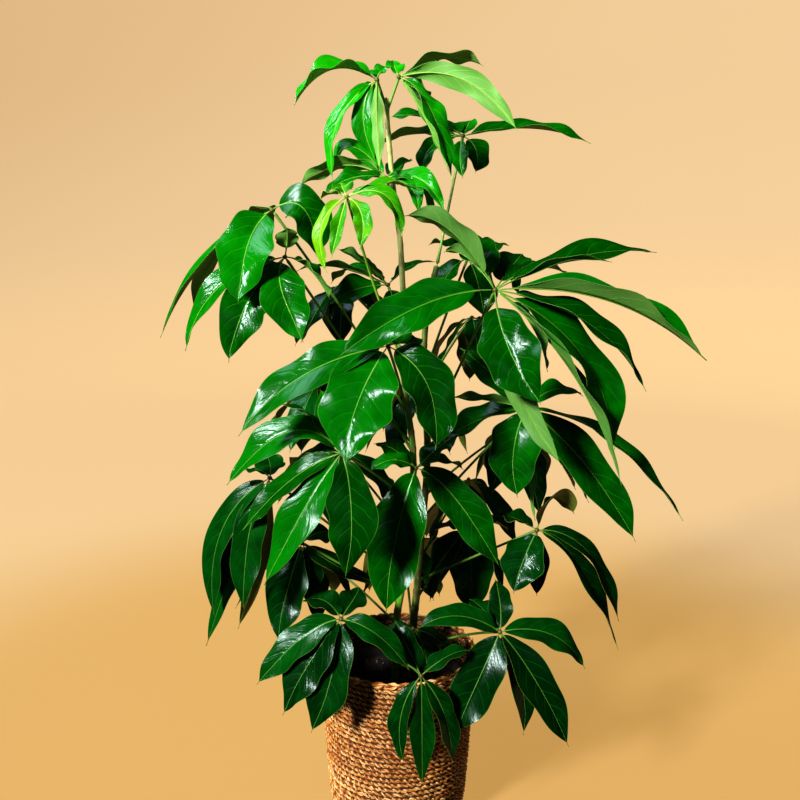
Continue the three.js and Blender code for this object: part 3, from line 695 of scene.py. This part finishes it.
# Leaves on the far side, as in the model: cane, height, heading, reach and length of the longest
# leaflet, and the rule that places their leaflets.
farLeaves = [
    ("main", 985, 128, 190, 165), ("right", 915, 60, 185, 180), ("main", 825, 152, 180, 190),
    ("right", 770, 92, 220, 215), ("right", 715, 28, 195, 195), ("main", 650, 125, 230, 220),
    ("right", 585, 60, 205, 210), ("main", 490, 150, 195, 200), ("right", 445, 95, 215, 205),
]
farRule = {
    "count": 6, "spread": 280, "scatter": 12, "stalk": 16, "drop": 110, "arch": 15, "width": 0.37,
    "sideShrink": 0.35, "shortest": 0.92, "lengthSpread": 0.16, "droop": 38, "droopSpread": 24,
    "crest": 0.16, "seed": 101,
}


def leafletRoute(hub, middle, tip):
    return bentRoute(hub, middle * 2 - hub * 0.5 - tip * 0.5, tip)


# Half width of a blade along its length: round at its foot, with a drawn-out drip tip.
bladeForm = {
    "bodyEnd": 0.96, "skew": 0.92, "fullness": 0.62, "slimming": 0.2, "slimStart": 0.6,
    "nibWidth": 0.055, "nibLength": 0.12,
}


def bladeOutline(along):
    end = bladeForm["bodyEnd"]
    fullness = bladeForm["fullness"] + bladeForm["slimming"] * eased(along, bladeForm["slimStart"], end)
    body = max(math.sin(math.pi * min(along / end, 1) ** bladeForm["skew"]), 0) ** fullness
    nib = bladeForm["nibWidth"] * min((1 - along) / bladeForm["nibLength"], 1)
    return (body ** 3 + nib ** 3) ** (1 / 3)


# Section of a leaflet on its route: point, side and upper face, with its own lean, twist and hook.
def section(leaflet, share):
    route = leaflet["route"]
    turn = leaflet["turn"]
    point = route.at(share)
    ahead = route.heading(share)
    chord = route.points[-1] - route.points[0]
    natural = Vector((chord.y, -chord.x, 0)).normalized().cross(ahead).normalized()
    toViewer = camera["spot"] - point
    toViewer = (toViewer - ahead * toViewer.dot(ahead)).normalized()
    upper = (natural * (1 - abs(turn)) + toViewer * turn).normalized()
    side = ahead.cross(upper).normalized()
    lean = leaflet["lean"] + leaflet["twist"] * (share - bladeLook["twistCentre"])
    leant = side * math.cos(lean) + upper * math.sin(lean)
    upper = upper * math.cos(lean) - side * math.sin(lean)
    hooked = eased(share, bladeLook["hookStart"], 1) ** 2
    return point + leant * leaflet["hook"] * hooked, leant, upper


def addBlade(bm, leaflet, foot, look, waveSign, chance):
    rows = bladeLook["rows"]
    width = leaflet["width"] * look["breadth"] * mm
    fold = leaflet["fold"] or chance.uniform(*bladeLook["foldSpread"]) * look["fold"]
    folds = {flank: fold * chance.uniform(*bladeLook["flankSpread"]) for flank in (-1, 1)}
    ruffle = look["ruffle"] * width * (bladeLook["foldedRuffle"] if leaflet["fold"] else 1)
    waves = {flank: (chance.uniform(*bladeLook["ruffles"]), chance.random()) for flank in (-1, 1)}
    crowding = bladeLook["crowding"]
    shares = [row / rows - crowding * math.sin(row / rows * math.tau) for row in range(rows + 1)]
    sections = [section(leaflet, foot + (1 - foot) * share) for share in shares]
    halves = [max(bladeOutline(share) * width / 2, bladeLook["leastHalf"] * mm) for share in shares]

    def surface(u, v):
        row = round(v * rows)
        point, side, upper = sections[row]
        half, along = halves[row], shares[row]
        across = u * 2 - 1
        reach = abs(across)
        flank = 1 if across > 0 else -1
        count, phase = waves[flank]
        tame = min(half / width * 4, 1)
        wave = math.tau * (along * count + phase)
        rise = half * (math.sin(folds[flank]) * reach - look["sag"] * reach * reach)
        swing = math.cos(math.pi * (along - bladeLook["waveStart"]) / bladeLook["halfWave"])
        rise -= across * bladeLook["wave"] * width * waveSign * swing * tame
        rise += ruffle * math.sin(wave) * reach * reach * tame
        beat = along - bladeLook["veinSweep"] * reach - bladeLook["veinCurl"] * reach * reach
        beat = beat * bladeLook["veinPairs"] + (0.5 if across > 0 else 0)
        bulge = (0.5 - 0.5 * math.cos(math.tau * beat)) * (1 - reach ** 4) * min(reach * 4, 1)
        rise += bulge * bladeLook["quilting"] * mm * tame
        outward = across * half * math.cos(folds[flank]) * (1 + bladeLook["bay"] * math.cos(wave))
        return point + side * outward + upper * rise

    corners, faces = bentGrid(bm, bladeLook["columns"], rows, surface, tint=chance.random())
    leafMap = bm.loops.layers.uv["leaf"]
    reachLayer = bm.verts.layers.float["reach"]
    for face in faces:
        for loop in face.loops:
            row = round(loop[leafMap].uv.y * rows)
            loop[leafMap].uv.y = shares[row]
            loop.vert[reachLayer] = abs(loop[leafMap].uv.x * 2 - 1) * halves[row] / mm
    faces = bmesh.ops.triangulate(bm, faces=faces)["faces"]  # both faces of the blade then split alike
    made = bmesh.ops.solidify(bm, geom=faces, thickness=bladeLook["thickness"] * mm)["geom"]
    below = {face for face in made if isinstance(face, bmesh.types.BMFace)}
    above = set(faces)
    margins = {face for corner in corners for face in corner.link_faces} - above - below
    dress(below | margins, 1)
    for face in margins:
        for edge in face.edges:
            if any(other in above or other in below for other in edge.link_faces):
                edge.smooth = False


# Stalk of a leaflet, which runs on as the midrib, mostly under the blade.
def addRib(bm, leaflet, foot):
    thick, thin, proud = [stalkLook[size] * mm for size in ("thick", "thin", "proud")]

    def radius(share):
        if share in (0, 1):
            return 0
        if share < foot:
            return (stalkLook["slim"] + stalkLook["joint"] * abs(share / foot * 2 - 1) ** 3) * mm
        return thin + (thick - thin) * (1 - (share - foot) / (1 - foot)) ** 0.9

    def shift(share):
        point, _, upper = section(leaflet, share)
        sunk = upper * ((proud - radius(share)) * eased(share, foot, foot + 0.06))
        return point - leaflet["route"].at(share) + sunk

    sides, steps = stalkLook["ribSides"], stalkLook["ribSteps"]
    tube(bm, leaflet["route"], radius, sides, steps, shift, paint=2, pale=0.7)


def addLeaf(name, leaf, hub, leaflets):
    bm = newMesh()
    chance = random.Random(name)
    foot = caneCentre(leaf["cane"], leaf["height"] * mm)
    control = (foot + hub) / 2
    control.z += leaf["arch"] * mm
    stalk = bentRoute(foot, control, hub)
    look = leafLooks[leaf["age"]]
    for index, leaflet in enumerate(leaflets):
        share = leaf["stalk"] * mm / leaflet["route"].length
        leaflet["lean"] = chance.uniform(-1, 1) * bladeLook["lean"]
        leaflet["twist"] = chance.uniform(-1, 1) * bladeLook["twist"]
        leaflet["hook"] = chance.uniform(-1, 1) * bladeLook["hook"] * leaflet["width"] * mm
        addBlade(bm, leaflet, share, look, 1 if index % 2 == 0 else -1, chance)
        addRib(bm, leaflet, share)

    def stalkRadius(share):
        if share in (0, 1):
            return 0
        flare = stalkLook["foot"] * math.exp(-share * stalkLook["footFade"])
        collar = stalkLook["head"] * math.exp((share - 1) * stalkLook["headFade"])
        return (stalkLook["radius"] + flare + collar) * mm

    tube(bm, stalk, stalkRadius, stalkLook["sides"], stalkLook["steps"], paint=2, pale=0.1)
    radius = stalkLook["knuckle"] * mm
    ball = bmesh.ops.create_icosphere(bm, subdivisions=2, radius=radius, matrix=Matrix.Translation(hub))
    tint = bm.verts.layers.float["tint"]
    for corner in ball["verts"]:
        knob = noise.noise(corner.co * stalkLook["knobScale"])
        corner.co += (corner.co - hub) * stalkLook["knobs"] * knob
        corner[tint] = 1
        dress(corner.link_faces, 2)
    addPiece("fine_" + name, bm, leafPaints[leaf["age"]], look["slot"], name)


def seenLeaflets(leaf, hub):
    made = []
    for tipAcross, tipDown, ahead, midAcross, midDown, width, turn, *fold in leaf["leaflets"]:
        depth = hub.y / mm
        tip = place(tipAcross, tipDown, depth - ahead)
        middle = place(midAcross, midDown, depth - ahead * middleAhead)
        rise = math.asin(fold[0]) if fold else 0
        route = leafletRoute(hub, middle, tip)
        made.append({"route": route, "width": width, "turn": turn, "fold": rise})
    return made


def modelChance(state):  # the model's own sequence of draws
    factor, most = 16807, 2 ** 31 - 1
    while True:
        state = state * factor % most
        yield state / most


def farLeaf(index, row):
    cane, height, heading, reach, longest = row
    chance = modelChance(farRule["seed"] + index)
    leaf = {"cane": cane, "height": height - farRule["drop"], "age": "old_and_painted_shade"}
    leaf.update({size: farRule[size] for size in ("arch", "stalk")})
    outward = math.radians(heading)
    foot = caneCentre(cane, leaf["height"] * mm)
    hub = foot + Vector((math.cos(outward), math.sin(outward), 0)) * reach * mm
    hub.z = height * mm
    leaflets = []
    for step in range(farRule["count"]):
        share = step / (farRule["count"] - 1)
        offset = (share - 0.5) * farRule["spread"] + farRule["scatter"] * (next(chance) - 0.5)
        length = longest * (1 - farRule["sideShrink"] * abs(offset) / 180)
        length *= farRule["shortest"] + farRule["lengthSpread"] * next(chance)
        droop = math.radians(farRule["droop"] + farRule["droopSpread"] * next(chance))
        angle = outward + math.radians(offset)
        level = math.cos(droop)
        tip = Vector((math.cos(angle) * level, math.sin(angle) * level, -math.sin(droop)))
        middle = tip * 0.5 + Vector((0, 0, farRule["crest"]))
        route = leafletRoute(hub, hub + middle * length * mm, hub + tip * length * mm)
        leaflets.append({"route": route, "width": length * farRule["width"], "turn": 0, "fold": 0})
    addLeaf(f"leaf_far_{index + 1}", leaf, hub, leaflets)


def makeLeaves():
    for name, leaf in leaves.items():
        hub = place(*leaf["hub"])
        addLeaf(name, leaf, hub, seenLeaflets(leaf, hub))
    for index, row in enumerate(farLeaves):
        farLeaf(index, row)
    print("leaves made:", len(leaves) + len(farLeaves))


# Canes: green bark with swollen nodes, old leaf scars and pale pores. Sizes are in millimetres. Each
# bark has its colour, its light streaks, the young wood near the top and the scars.
caneLook = {
    "sides": 18, "ring": 3, "swelling": 0.7, "swellingReach": 2.6, "firstNode": 30, "nodeGap": (26, 52),
    "scarStart": 0.9, "scarWidth": 3.5, "pore": (196, 186, 140),
    "bark_main": [(74, 146, 26), (136, 192, 60), (226, 232, 150), (126, 112, 52)],
    "bark_right": [(62, 84, 30), (112, 130, 56), (120, 150, 70), (92, 74, 44)],
}


def canePaint(name):
    bark, light, young, scar = caneLook[name]
    paint = Paint(name, Coat_Weight=0.08)
    spot = paint.spot()
    streaks = paint.grain(paint.stretch(spot, (1, 1, 0.12)), 190, 4, 0.6)
    pores = 1 - paint.cells(paint.stretch(spot, (1, 1, 0.45)), 240, "F1").fade(0.1, 0.28)
    node = paint.number("tint")
    height = paint.add("ShaderNodeSeparateXYZ", {}, {0: spot}).out(2)
    colour = paint.blend(bark, light, streaks.fade(0.3, 0.7))
    colour = paint.blend(colour, young, height.fade(0.66, 0.98) * 0.95)
    colour = paint.blend(colour, scar, node * (0.7 - height.fade(0.7, 1.1) * 0.5))
    colour = paint.blend(colour, caneLook["pore"], pores * 0.4)
    grain = streaks * 0.5 + pores * 0.7 - node * 0.4
    return paint.finish(colour, 0.42 + streaks * 0.25, grain, 0.5 * mm, 0.8)


def makeCane(name):
    cane = canes[name]
    route = cane["route"]
    steps = round(route.length / (caneLook["ring"] * mm))
    chance = random.Random("cane " + name)
    nodes = []
    height = caneLook["firstNode"]
    while height < route.length / mm:
        nodes.append(height * mm)
        height += chance.uniform(*caneLook["nodeGap"])

    def swelling(share):
        reach = caneLook["swellingReach"] * mm
        return max(math.exp(-(((share * route.length - node) / reach) ** 2)) for node in nodes)

    def radius(share):
        if share in (0, 1):
            return 0
        plain = cane["foot"] + (cane["top"] - cane["foot"]) * share
        return (plain + caneLook["swelling"] * swelling(share)) * mm

    bm = newMesh()
    corners = tube(bm, route, radius, caneLook["sides"], steps)
    tint = bm.verts.layers.float["tint"]
    marks = [route.at(node / route.length) for node in nodes]
    scar = cane["foot"] * mm * caneLook["scarStart"]
    for corner in corners:
        near = min((corner.co - mark).length for mark in marks)
        corner[tint] = 1 - eased(near, scar, scar + caneLook["scarWidth"] * mm)
    addPiece("fine_cane_" + name, bm, [canePaint("bark_" + name)], "cane_bark", "cane_" + name)


def makeCanes():
    for name in canes:
        makeCane(name)
    print("canes made")


# Basket of twisted seagrass rope, row on row, with a plaited rim. Each rope has two plies of four
# fibres. Sizes are in millimetres.
basketLook = {
    "rows": 32,  # from the floor up, made in three parts
    "parts": {"lower": range(0, 10), "middle": range(10, 21), "upper": range(21, 32)},
    "footRadius": 119,
    "swell": 0.42,  # below 1 the wall leans out most near the floor
    "inset": 2.5,
    "golden": (208, 134, 56),
    "cream": (250, 212, 146),
    "brown": (136, 70, 24),
    "shadow": (26, 10, 2),
}
ropeLook = {
    "twists": (29, 37),
    "points": 260,
    "sides": 4,
    "fibres": 4,
    "fibre": 1.18,
    "lay": 1.5,  # from a ply's middle to its fibres'
    "swing": 0.22,  # from the rope's middle to its plies', as a share of the row's height
    "sink": 0.45,  # from the wall to the rope's middle, as such a share
    "wander": 1.7,  # how far a row strays up and down, and how much that turns its twist
    "wanderTwist": 2.4,
    "wanderScale": 5,
    # The depth below sets how fast deeper fibres darken, as painted shade.
    "depth": 6,  # over which it grows dark
}
# How a fibre strays from its course: how fast that changes round the basket, by what share it grows
# thicker and thinner, and how far it moves outwards and upwards. Its shade has patches too.
fibreLook = {
    "fray": 22, "thinning": 0.6, "out": 1.1, "upFray": 30, "up": 0.6, "patch": 70, "shades": (0.05, 0.95),
}
braidLook = {
    "height": 13, "inset": 3.4, "turns": 13, "strands": 3, "fibres": 3, "fibre": 1.6, "sides": 5,
    "points": 26, "out": 2.4, "up": 3.7, "lay": 1.5, "depth": 7,
}


def seagrassPaint():
    paint = Paint("seagrass", Specular_IOR_Level=0.45)
    share = paint.add("ShaderNodeUVMap", {"uv_map": "leaf"}, {})
    streaks = paint.grain(paint.stretch(share, (2.5, 60, 1)), 2, 3, 0.6)
    patch = paint.grain(paint.spot(), 60, 3)
    mottle = paint.number("tint") * 0.75 + streaks * 0.5 + patch * 0.4 - 0.35
    colour = paint.blend(basketLook["brown"], basketLook["golden"], mottle.fade(0, 0.55))
    colour = paint.blend(colour, basketLook["cream"], mottle.fade(0.4, 0.9) * 0.9)
    # Painted shade: fibres that lie deeper in the wall are blended towards the shadow colour.
    colour = paint.blend(colour, basketLook["shadow"], paint.number("pale").fade(0.42, 1) * 0.92)
    return paint.finish(colour, 0.36 + streaks * 0.3, streaks, 0.8 * mm, 0.8)


def basketRadius(height, low, high):
    foot = basketLook["footRadius"] * mm
    rim = (high.x - low.x) / 2 - basketLook["inset"] * mm
    return foot + (rim - foot) * (height / high.z) ** basketLook["swell"]


# One fibre that lies round the basket. Its course gives the distance and the height of its middle by
# the angle. From the radius inwards it gets darker painted shade, over the look's depth.
def addFibre(bm, course, look, points, radius, chance):
    strand = chance.random() * 40

    def wall(u, v):
        angle = v * math.tau
        compass = Vector((math.cos(angle), math.sin(angle), 0))
        frayed = noise.noise(compass * fibreLook["fray"] + Vector((0, 0, strand)))
        lifted = noise.noise(compass * fibreLook["upFray"] + Vector((0, 0, strand + 7)))
        out, up = course(angle)
        around = u * math.tau + math.pi
        fat = look["fibre"] * mm * (1 + fibreLook["thinning"] * frayed)
        out += fat * math.cos(around) + fibreLook["out"] * mm * frayed
        up += fat * math.sin(around) + fibreLook["up"] * mm * lifted
        return compass * out + Vector((0, 0, max(up, 0.2 * mm)))  # clear of the floor

    corners, _ = bentGrid(bm, look["sides"], points, wall)
    sunk, tint = bm.verts.layers.float["pale"], bm.verts.layers.float["tint"]
    shade = chance.uniform(*fibreLook["shades"])
    for corner in corners:
        reach = math.hypot(corner.co.x, corner.co.y)
        # How deep the fibre lies, which the finish turns into painted shade.
        corner[sunk] = min(max((radius - reach) / (look["depth"] * mm), 0), 1)
        corner[tint] = shade + 0.6 * noise.noise(corner.co * fibreLook["patch"] + Vector((strand, 0, 0)))
    bmesh.ops.remove_doubles(bm, verts=corners, dist=weld)


def addRope(bm, radius, height, rowHeight, chance):
    start, level = chance.random() * math.tau, chance.random() * 9
    twists = chance.randint(*ropeLook["twists"])
    swing = rowHeight * ropeLook["swing"]
    lay, slack = ropeLook["lay"] * mm, ropeLook["wander"] * mm
    fibres = ropeLook["fibres"]
    for ply in range(2):
        for fibre in range(fibres):

            def course(angle):
                spot = Vector((math.cos(angle), math.sin(angle), level))
                wander = noise.noise(spot * ropeLook["wanderScale"])
                twist = start + ply * math.pi - twists * angle + ropeLook["wanderTwist"] * wander
                turn = twist * 2 + fibre / fibres * math.tau
                out = radius + swing * math.cos(twist) + lay * math.cos(turn)
                up = height + swing * math.sin(twist) + lay * math.sin(turn) + slack * wander
                return out, up

            addFibre(bm, course, ropeLook, ropeLook["points"], radius + 2 * mm, chance)


def makeBasket():
    low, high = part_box("basket")
    rowHeight = (high.z - braidLook["height"] * mm) / basketLook["rows"]
    paint = seagrassPaint()
    chance = random.Random("basket")
    for part, levels in basketLook["parts"].items():
        bm = newMesh()
        for row in levels:
            height = (row + 0.5) * rowHeight
            radius = basketRadius(height, low, high) - rowHeight * ropeLook["sink"]
            addRope(bm, radius, height, rowHeight, chance)
        addPiece("basket_weave_" + part, bm, [paint], "seagrass", *(["basket"] if part == "lower" else []))
    makeBraid(low, high, paint, chance)
    makeCore(low, high, rowHeight)
    makeCoil(paint)
    print("basket made")


def makeBraid(low, high, paint, chance):
    bm = newMesh()
    height = high.z - braidLook["height"] * mm / 2
    radius = basketRadius(high.z, low, high) - braidLook["inset"] * mm
    turns, strands, fibres = braidLook["turns"], braidLook["strands"], braidLook["fibres"]
    outSwing, upSwing, lay = [braidLook[size] * mm for size in ("out", "up", "lay")]
    for strand in range(strands):
        for fibre in range(fibres):

            def course(angle):
                beat = turns * angle + strand / strands * math.tau
                turn = beat * 2 + fibre / fibres * math.tau
                out = radius + outSwing * math.sin(2 * beat) + lay * math.cos(turn)
                return out, height + upSwing * math.cos(beat) + lay * math.sin(turn)

            addFibre(bm, course, braidLook, turns * braidLook["points"], radius + 2 * mm, chance)
    addPiece("basket_rim_braid", bm, [paint], "seagrass")


# A shape turned round the upright axis from an outline of radii and heights.
def spun(bm, outline, steps):
    corners = [bm.verts.new((radius, 0, height)) for radius, height in outline]
    edges = [bm.edges.new(pair) for pair in zip(corners, corners[1:])]
    axis = {"cent": (0, 0, 0), "axis": (0, 0, 1)}
    bmesh.ops.spin(bm, geom=corners + edges, angle=math.tau, steps=steps, use_merge=True, **axis)
    bmesh.ops.remove_doubles(bm, verts=bm.verts, dist=weld)
    bmesh.ops.recalc_face_normals(bm, faces=bm.faces)
    dress(bm.faces, 0)


# Dark wall and bottom behind the ropes, painted shade that shows in the gaps between them. Sizes are in
# millimetres.
coreLook = {
    "bottom": 4, "floor": 2, "wall": 1.6, "belowRim": 8, "levels": 16, "sides": 72, "sink": 0.38,
    "dark": (52, 28, 10), "light": (96, 58, 24),
}


def makeCore(low, high, rowHeight):
    paint = Paint("basket_core_painted_shade")
    fibres = paint.grain(paint.stretch(paint.spot(), (1, 1, 4)), 90, 3)
    # Painted shade: a dark brown that stands for the shade behind the ropes.
    colour = paint.blend(coreLook["dark"], coreLook["light"], fibres)
    material = paint.finish(colour, 0.8 + fibres * 0.1, fibres, 0.8 * mm)
    bottom = coreLook["bottom"] * mm
    floor = bottom + coreLook["floor"] * mm
    rise = high.z - coreLook["belowRim"] * mm - bottom
    levels = [bottom + rise * step / coreLook["levels"] for step in range(coreLook["levels"] + 1)]
    sink = rowHeight * coreLook["sink"]
    outer = [(basketRadius(level, low, high) - sink, level) for level in levels]
    inner = [(radius - coreLook["wall"] * mm, level) for radius, level in reversed(outer)]
    bm = newMesh()
    spun(bm, [(0, bottom)] + outer + inner[:-1] + [(inner[-1][0], floor), (0, floor)], coreLook["sides"])
    addPiece("basket_core_painted_shade", bm, [material], "seagrass")


# The bottom is one rope coiled from the middle outwards. Sizes are in millimetres.
coilLook = {
    "turns": 11, "points": 40, "start": 6, "reach": 107, "height": 4.6, "rope": 4.4, "sides": 8,
    "steps": 640,
}


def makeCoil(paint):
    turns = coilLook["turns"]
    points = []
    for step in range(coilLook["points"] * turns + 1):
        turn = step / coilLook["points"]
        radius = (coilLook["start"] + coilLook["reach"] * turn / turns) * mm
        compass = Vector((math.cos(turn * math.tau), math.sin(turn * math.tau), 0))
        points.append(compass * radius + Vector((0, 0, coilLook["height"] * mm)))

    def rope(share):
        return 0 if share in (0, 1) else coilLook["rope"] * mm

    bm = newMesh()
    tube(bm, Route(points), rope, coilLook["sides"], coilLook["steps"], tint=0.5)
    addPiece("basket_bottom_coil", bm, [paint], "seagrass")


# Plain grow pot, narrower at its foot, with a lip that stands out from its wall. Sizes are in
# millimetres, and the sharp edges are those of more degrees than given.
potLook = {
    "wall": 2.5, "lip": 5, "lipHeight": 14, "taper": 29, "round": 1, "sides": 96, "sharp": 50,
    "black": (10, 10, 10), "scuff": (26, 24, 22), "dust": (64, 50, 36),
}


def makePot():
    low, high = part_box("nursery_pot")
    paint = Paint("pot_plastic", Specular_IOR_Level=0.4)
    spot = paint.spot()
    scuffs = paint.grain(spot, 130, 4, 0.7)
    dust = paint.grain(spot, 25, 3)
    colour = paint.blend(potLook["black"], potLook["scuff"], scuffs)
    colour = paint.blend(colour, potLook["dust"], dust.fade(0.5, 0.75) * 0.4)
    material = paint.finish(colour, 0.42 + dust * 0.3, scuffs, 0.3 * mm, 0.6)
    lip, top, base = high.x, high.z, low.z
    wall, edge = potLook["wall"] * mm, potLook["round"] * mm
    under = top - potLook["lipHeight"] * mm
    body, foot = lip - potLook["lip"] * mm, lip - potLook["taper"] * mm
    outline = [
        (0, base), (foot - 2 * edge, base), (foot, base + 2 * edge), (body, under),
        (lip - edge, under), (lip, under + edge), (lip, top - 2 * edge), (lip - 1.2 * edge, top),
        (body - edge, top), (body - wall, top - 1.5 * edge), (foot - wall, base + wall), (0, base + wall),
    ]
    bm = newMesh()
    spun(bm, outline, potLook["sides"])
    piece = addPiece("fine_nursery_pot", bm, [material], "pot_plastic", "nursery_pot")
    piece.data.set_sharp_from_angle(angle=math.radians(potLook["sharp"]))
    print("pot made")


# Soil: a crumbly top with bark chips and a few pale grains. Sizes are in millimetres.
soilLook = {
    "below": 4, "gap": 0.5, "taper": 20, "rings": 30, "sides": 90, "lumps": 3.2, "lumpScale": 45,
    # The earth and bark chip colours are very dark: partly the soil's own colour and partly painted shade,
    # the shade inside the pot.
    "earth": [(8, 6, 4), (30, 20, 12)], "bark": [(24, 15, 9), (66, 42, 25)],
    "grit": [(150, 144, 130), (104, 94, 78)],
    "bits": [{"count": 170, "size": 4.2}, {"count": 130, "size": 1.5}],
    "spread": 0.96, "lift": 2.5, "tilt": 0.5, "sizes": (0.6, 1.2),
    "squash": [(0.7, 1.5), (0.5, 1), (0.25, 0.6)],
}


def soilPaints():
    paint = Paint("potting_soil")
    spot = paint.spot()
    crumbs = paint.cells(spot, 300, "F1")
    clods = paint.grain(spot, 70, 5, 0.65)
    # The earth's and the chips' very dark colours are partly painted shade.
    colour = paint.blend(*soilLook["earth"], (clods * 0.8 + crumbs * 0.4 - 0.2).fade(0.1, 0.8))
    yield paint.finish(colour, 0.9 - crumbs * 0.1, clods + crumbs, 2 * mm)
    paint = Paint("bark_chips")
    streaks = paint.grain(paint.stretch(paint.spot(), (1, 4, 2)), 160, 4)
    yield paint.finish(paint.blend(*soilLook["bark"], streaks), 0.75 + streaks * 0.2, streaks, 0.8 * mm)
    paint = Paint("pale_grains")
    pits = paint.grain(paint.spot(), 900, 2)
    yield paint.finish(paint.blend(*soilLook["grit"], pits), 0.85 + pits * 0.1, pits, 0.4 * mm)


def makeSoil():
    low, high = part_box("soil")
    top = high.z - soilLook["below"] * mm
    edge = high.x - soilLook["gap"] * mm
    bm = newMesh()
    rings = [(edge * step / soilLook["rings"], top) for step in range(soilLook["rings"] + 1)]
    spun(bm, rings + [(edge - soilLook["taper"] * mm, low.z), (0, low.z)], soilLook["sides"])
    for corner in bm.verts:
        if corner.co.z > top - mm:
            lumps = noise.fractal(corner.co * soilLook["lumpScale"], 0.8, 2.1, 4)
            corner.co.z += lumps * soilLook["lumps"] * mm
    chance = random.Random("soil")
    for index, bits in enumerate(soilLook["bits"], 1):
        for _ in range(bits["count"]):
            reach = edge * soilLook["spread"] * math.sqrt(chance.random())
            angle = chance.random() * math.tau
            height = top + chance.uniform(0, soilLook["lift"]) * mm
            middle = Vector((reach * math.cos(angle), reach * math.sin(angle), height))
            turn = Matrix.Rotation(chance.random() * math.tau, 4, "Z")
            turn = turn @ Matrix.Rotation(chance.uniform(-soilLook["tilt"], soilLook["tilt"]), 4, "X")
            squash = Matrix.Diagonal([chance.uniform(*share) for share in soilLook["squash"]] + [1])
            matrix = Matrix.Translation(middle) @ turn @ squash
            radius = bits["size"] * chance.uniform(*soilLook["sizes"]) * mm
            made = bmesh.ops.create_icosphere(bm, subdivisions=1, radius=radius, matrix=matrix)
            for corner in made["verts"]:
                dress(corner.link_faces, index, smooth=False)
    addPiece("fine_soil", bm, list(soilPaints()), "potting_soil", "soil")
    print("soil made")


# Seamless warm paper: a floor that curves up all round. Sizes are in metres.
paper = {
    "flat": 3.4, "bend": 1.8, "rise": 5.5, "arcSteps": 12, "sides": 96, "floor": (128, 104, 66),
    "wall": (92, 78, 58), "cloud": (110, 92, 66), "nearGlow": (222, 174, 102), "farGlow": (241, 206, 158),
    "cornerGlow": (226, 182, 124),
}


def makeStage():
    paint = Paint("backdrop_paper", Specular_IOR_Level=0.2, Emission_Strength=0.68)
    spot = paint.spot()
    cloud = paint.grain(spot, 0.9, 3)
    fibre = paint.grain(spot, 600, 2)
    axes = paint.add("ShaderNodeSeparateXYZ", {}, {0: spot})
    height = axes.out(2)
    colour = paint.blend(paper["floor"], paper["wall"], height.fade(0, 1))
    colour = paint.blend(colour, paper["cloud"], cloud * 0.3)
    away = paint.add("ShaderNodeVectorMath", {"operation": "LENGTH"}, {0: spot}).out("Value")
    # Painted light: the glow keeps the paper evenly bright, but is dimmer near the middle of the floor and
    # high up on the left, as painted shade.
    glow = paint.blend(paper["nearGlow"], paper["farGlow"], away.fade(1, 2))
    corner = (height - axes.out(0) * 0.5).fade(1.5, 3.2)
    glow = paint.blend(glow, paper["cornerGlow"], corner * 0.35)
    paint.join(glow, paint.shader.inputs["Emission Color"])
    material = paint.finish(colour, 0.85 + fibre * 0.1, fibre, 0.1 * mm, 0.3)
    bm = newMesh()
    flat, bend = paper["flat"], paper["bend"]
    outline = [(0, 0), (1, 0), (2, 0), (flat, 0)]
    for step in range(1, paper["arcSteps"] + 1):
        angle = step / paper["arcSteps"] * math.pi / 2
        outline.append((flat + bend * math.sin(angle), bend * (1 - math.cos(angle))))
    outline.append((flat + bend, paper["rise"]))
    spun(bm, outline, paper["sides"])
    floor = meshObject("floor", bm, [material])
    floor.visible_diffuse = False  # keeps the paper's glow off the leaves
    floor.visible_glossy = False
    floor.visible_shadow = False


# Soft studio light, aimed at the middle of the plant, over a faint fill from all round.
studioLights = {
    "key": {"kind": "SUN", "spot": (-2.4, -2.7, 2.7), "power": 4.6, "angle": 9, "colour": (1, 0.98, 0.94)},
    "window": {"kind": "AREA", "spot": (-1.6, 0.2, 3.2), "power": 30, "size": 1.2, "colour": (0.72, 0.88, 1)},
    "front": {"kind": "AREA", "spot": (1.4, -3.0, 2.4), "power": 3, "size": 1.4, "colour": (0.8, 0.95, 1)},
    "bounce": {"kind": "SUN", "spot": (1.2, 0.4, -1.4), "power": 0.7, "angle": 90, "colour": (1, 0.6, 0.26)},
}
skyFill = {"colour": (0.86, 1, 0.9, 1), "power": 0.02}
aim = Vector((0, 0, 0.7))


def makeLights():
    for name, look in studioLights.items():
        lamp = bpy.data.lights.new(name, look["kind"])
        lamp.energy = look["power"]
        if look["kind"] == "SUN":
            lamp.angle = math.radians(look["angle"])
        else:
            lamp.size = look["size"]
        lamp.color = look["colour"]
        holder = newObject(name, lamp)
        holder.location = look["spot"]
        beam = aim - Vector(look["spot"])
        holder.rotation_euler = beam.to_track_quat("-Z", "Y").to_euler()
    world = bpy.data.worlds.new("studio")
    world.use_nodes = True
    sky = world.node_tree.nodes["Background"].inputs
    sky["Color"].default_value = skyFill["colour"]
    sky["Strength"].default_value = skyFill["power"]
    bpy.context.scene.world = world
    bpy.context.scene.view_settings.view_transform = "Standard"
    bpy.context.scene.view_settings.look = "Medium High Contrast"


makeCamera()
makeStage()
makeLights()
print("studio ready")
makeLeaves()
makeCanes()
makeSoil()
makePot()
makeBasket()
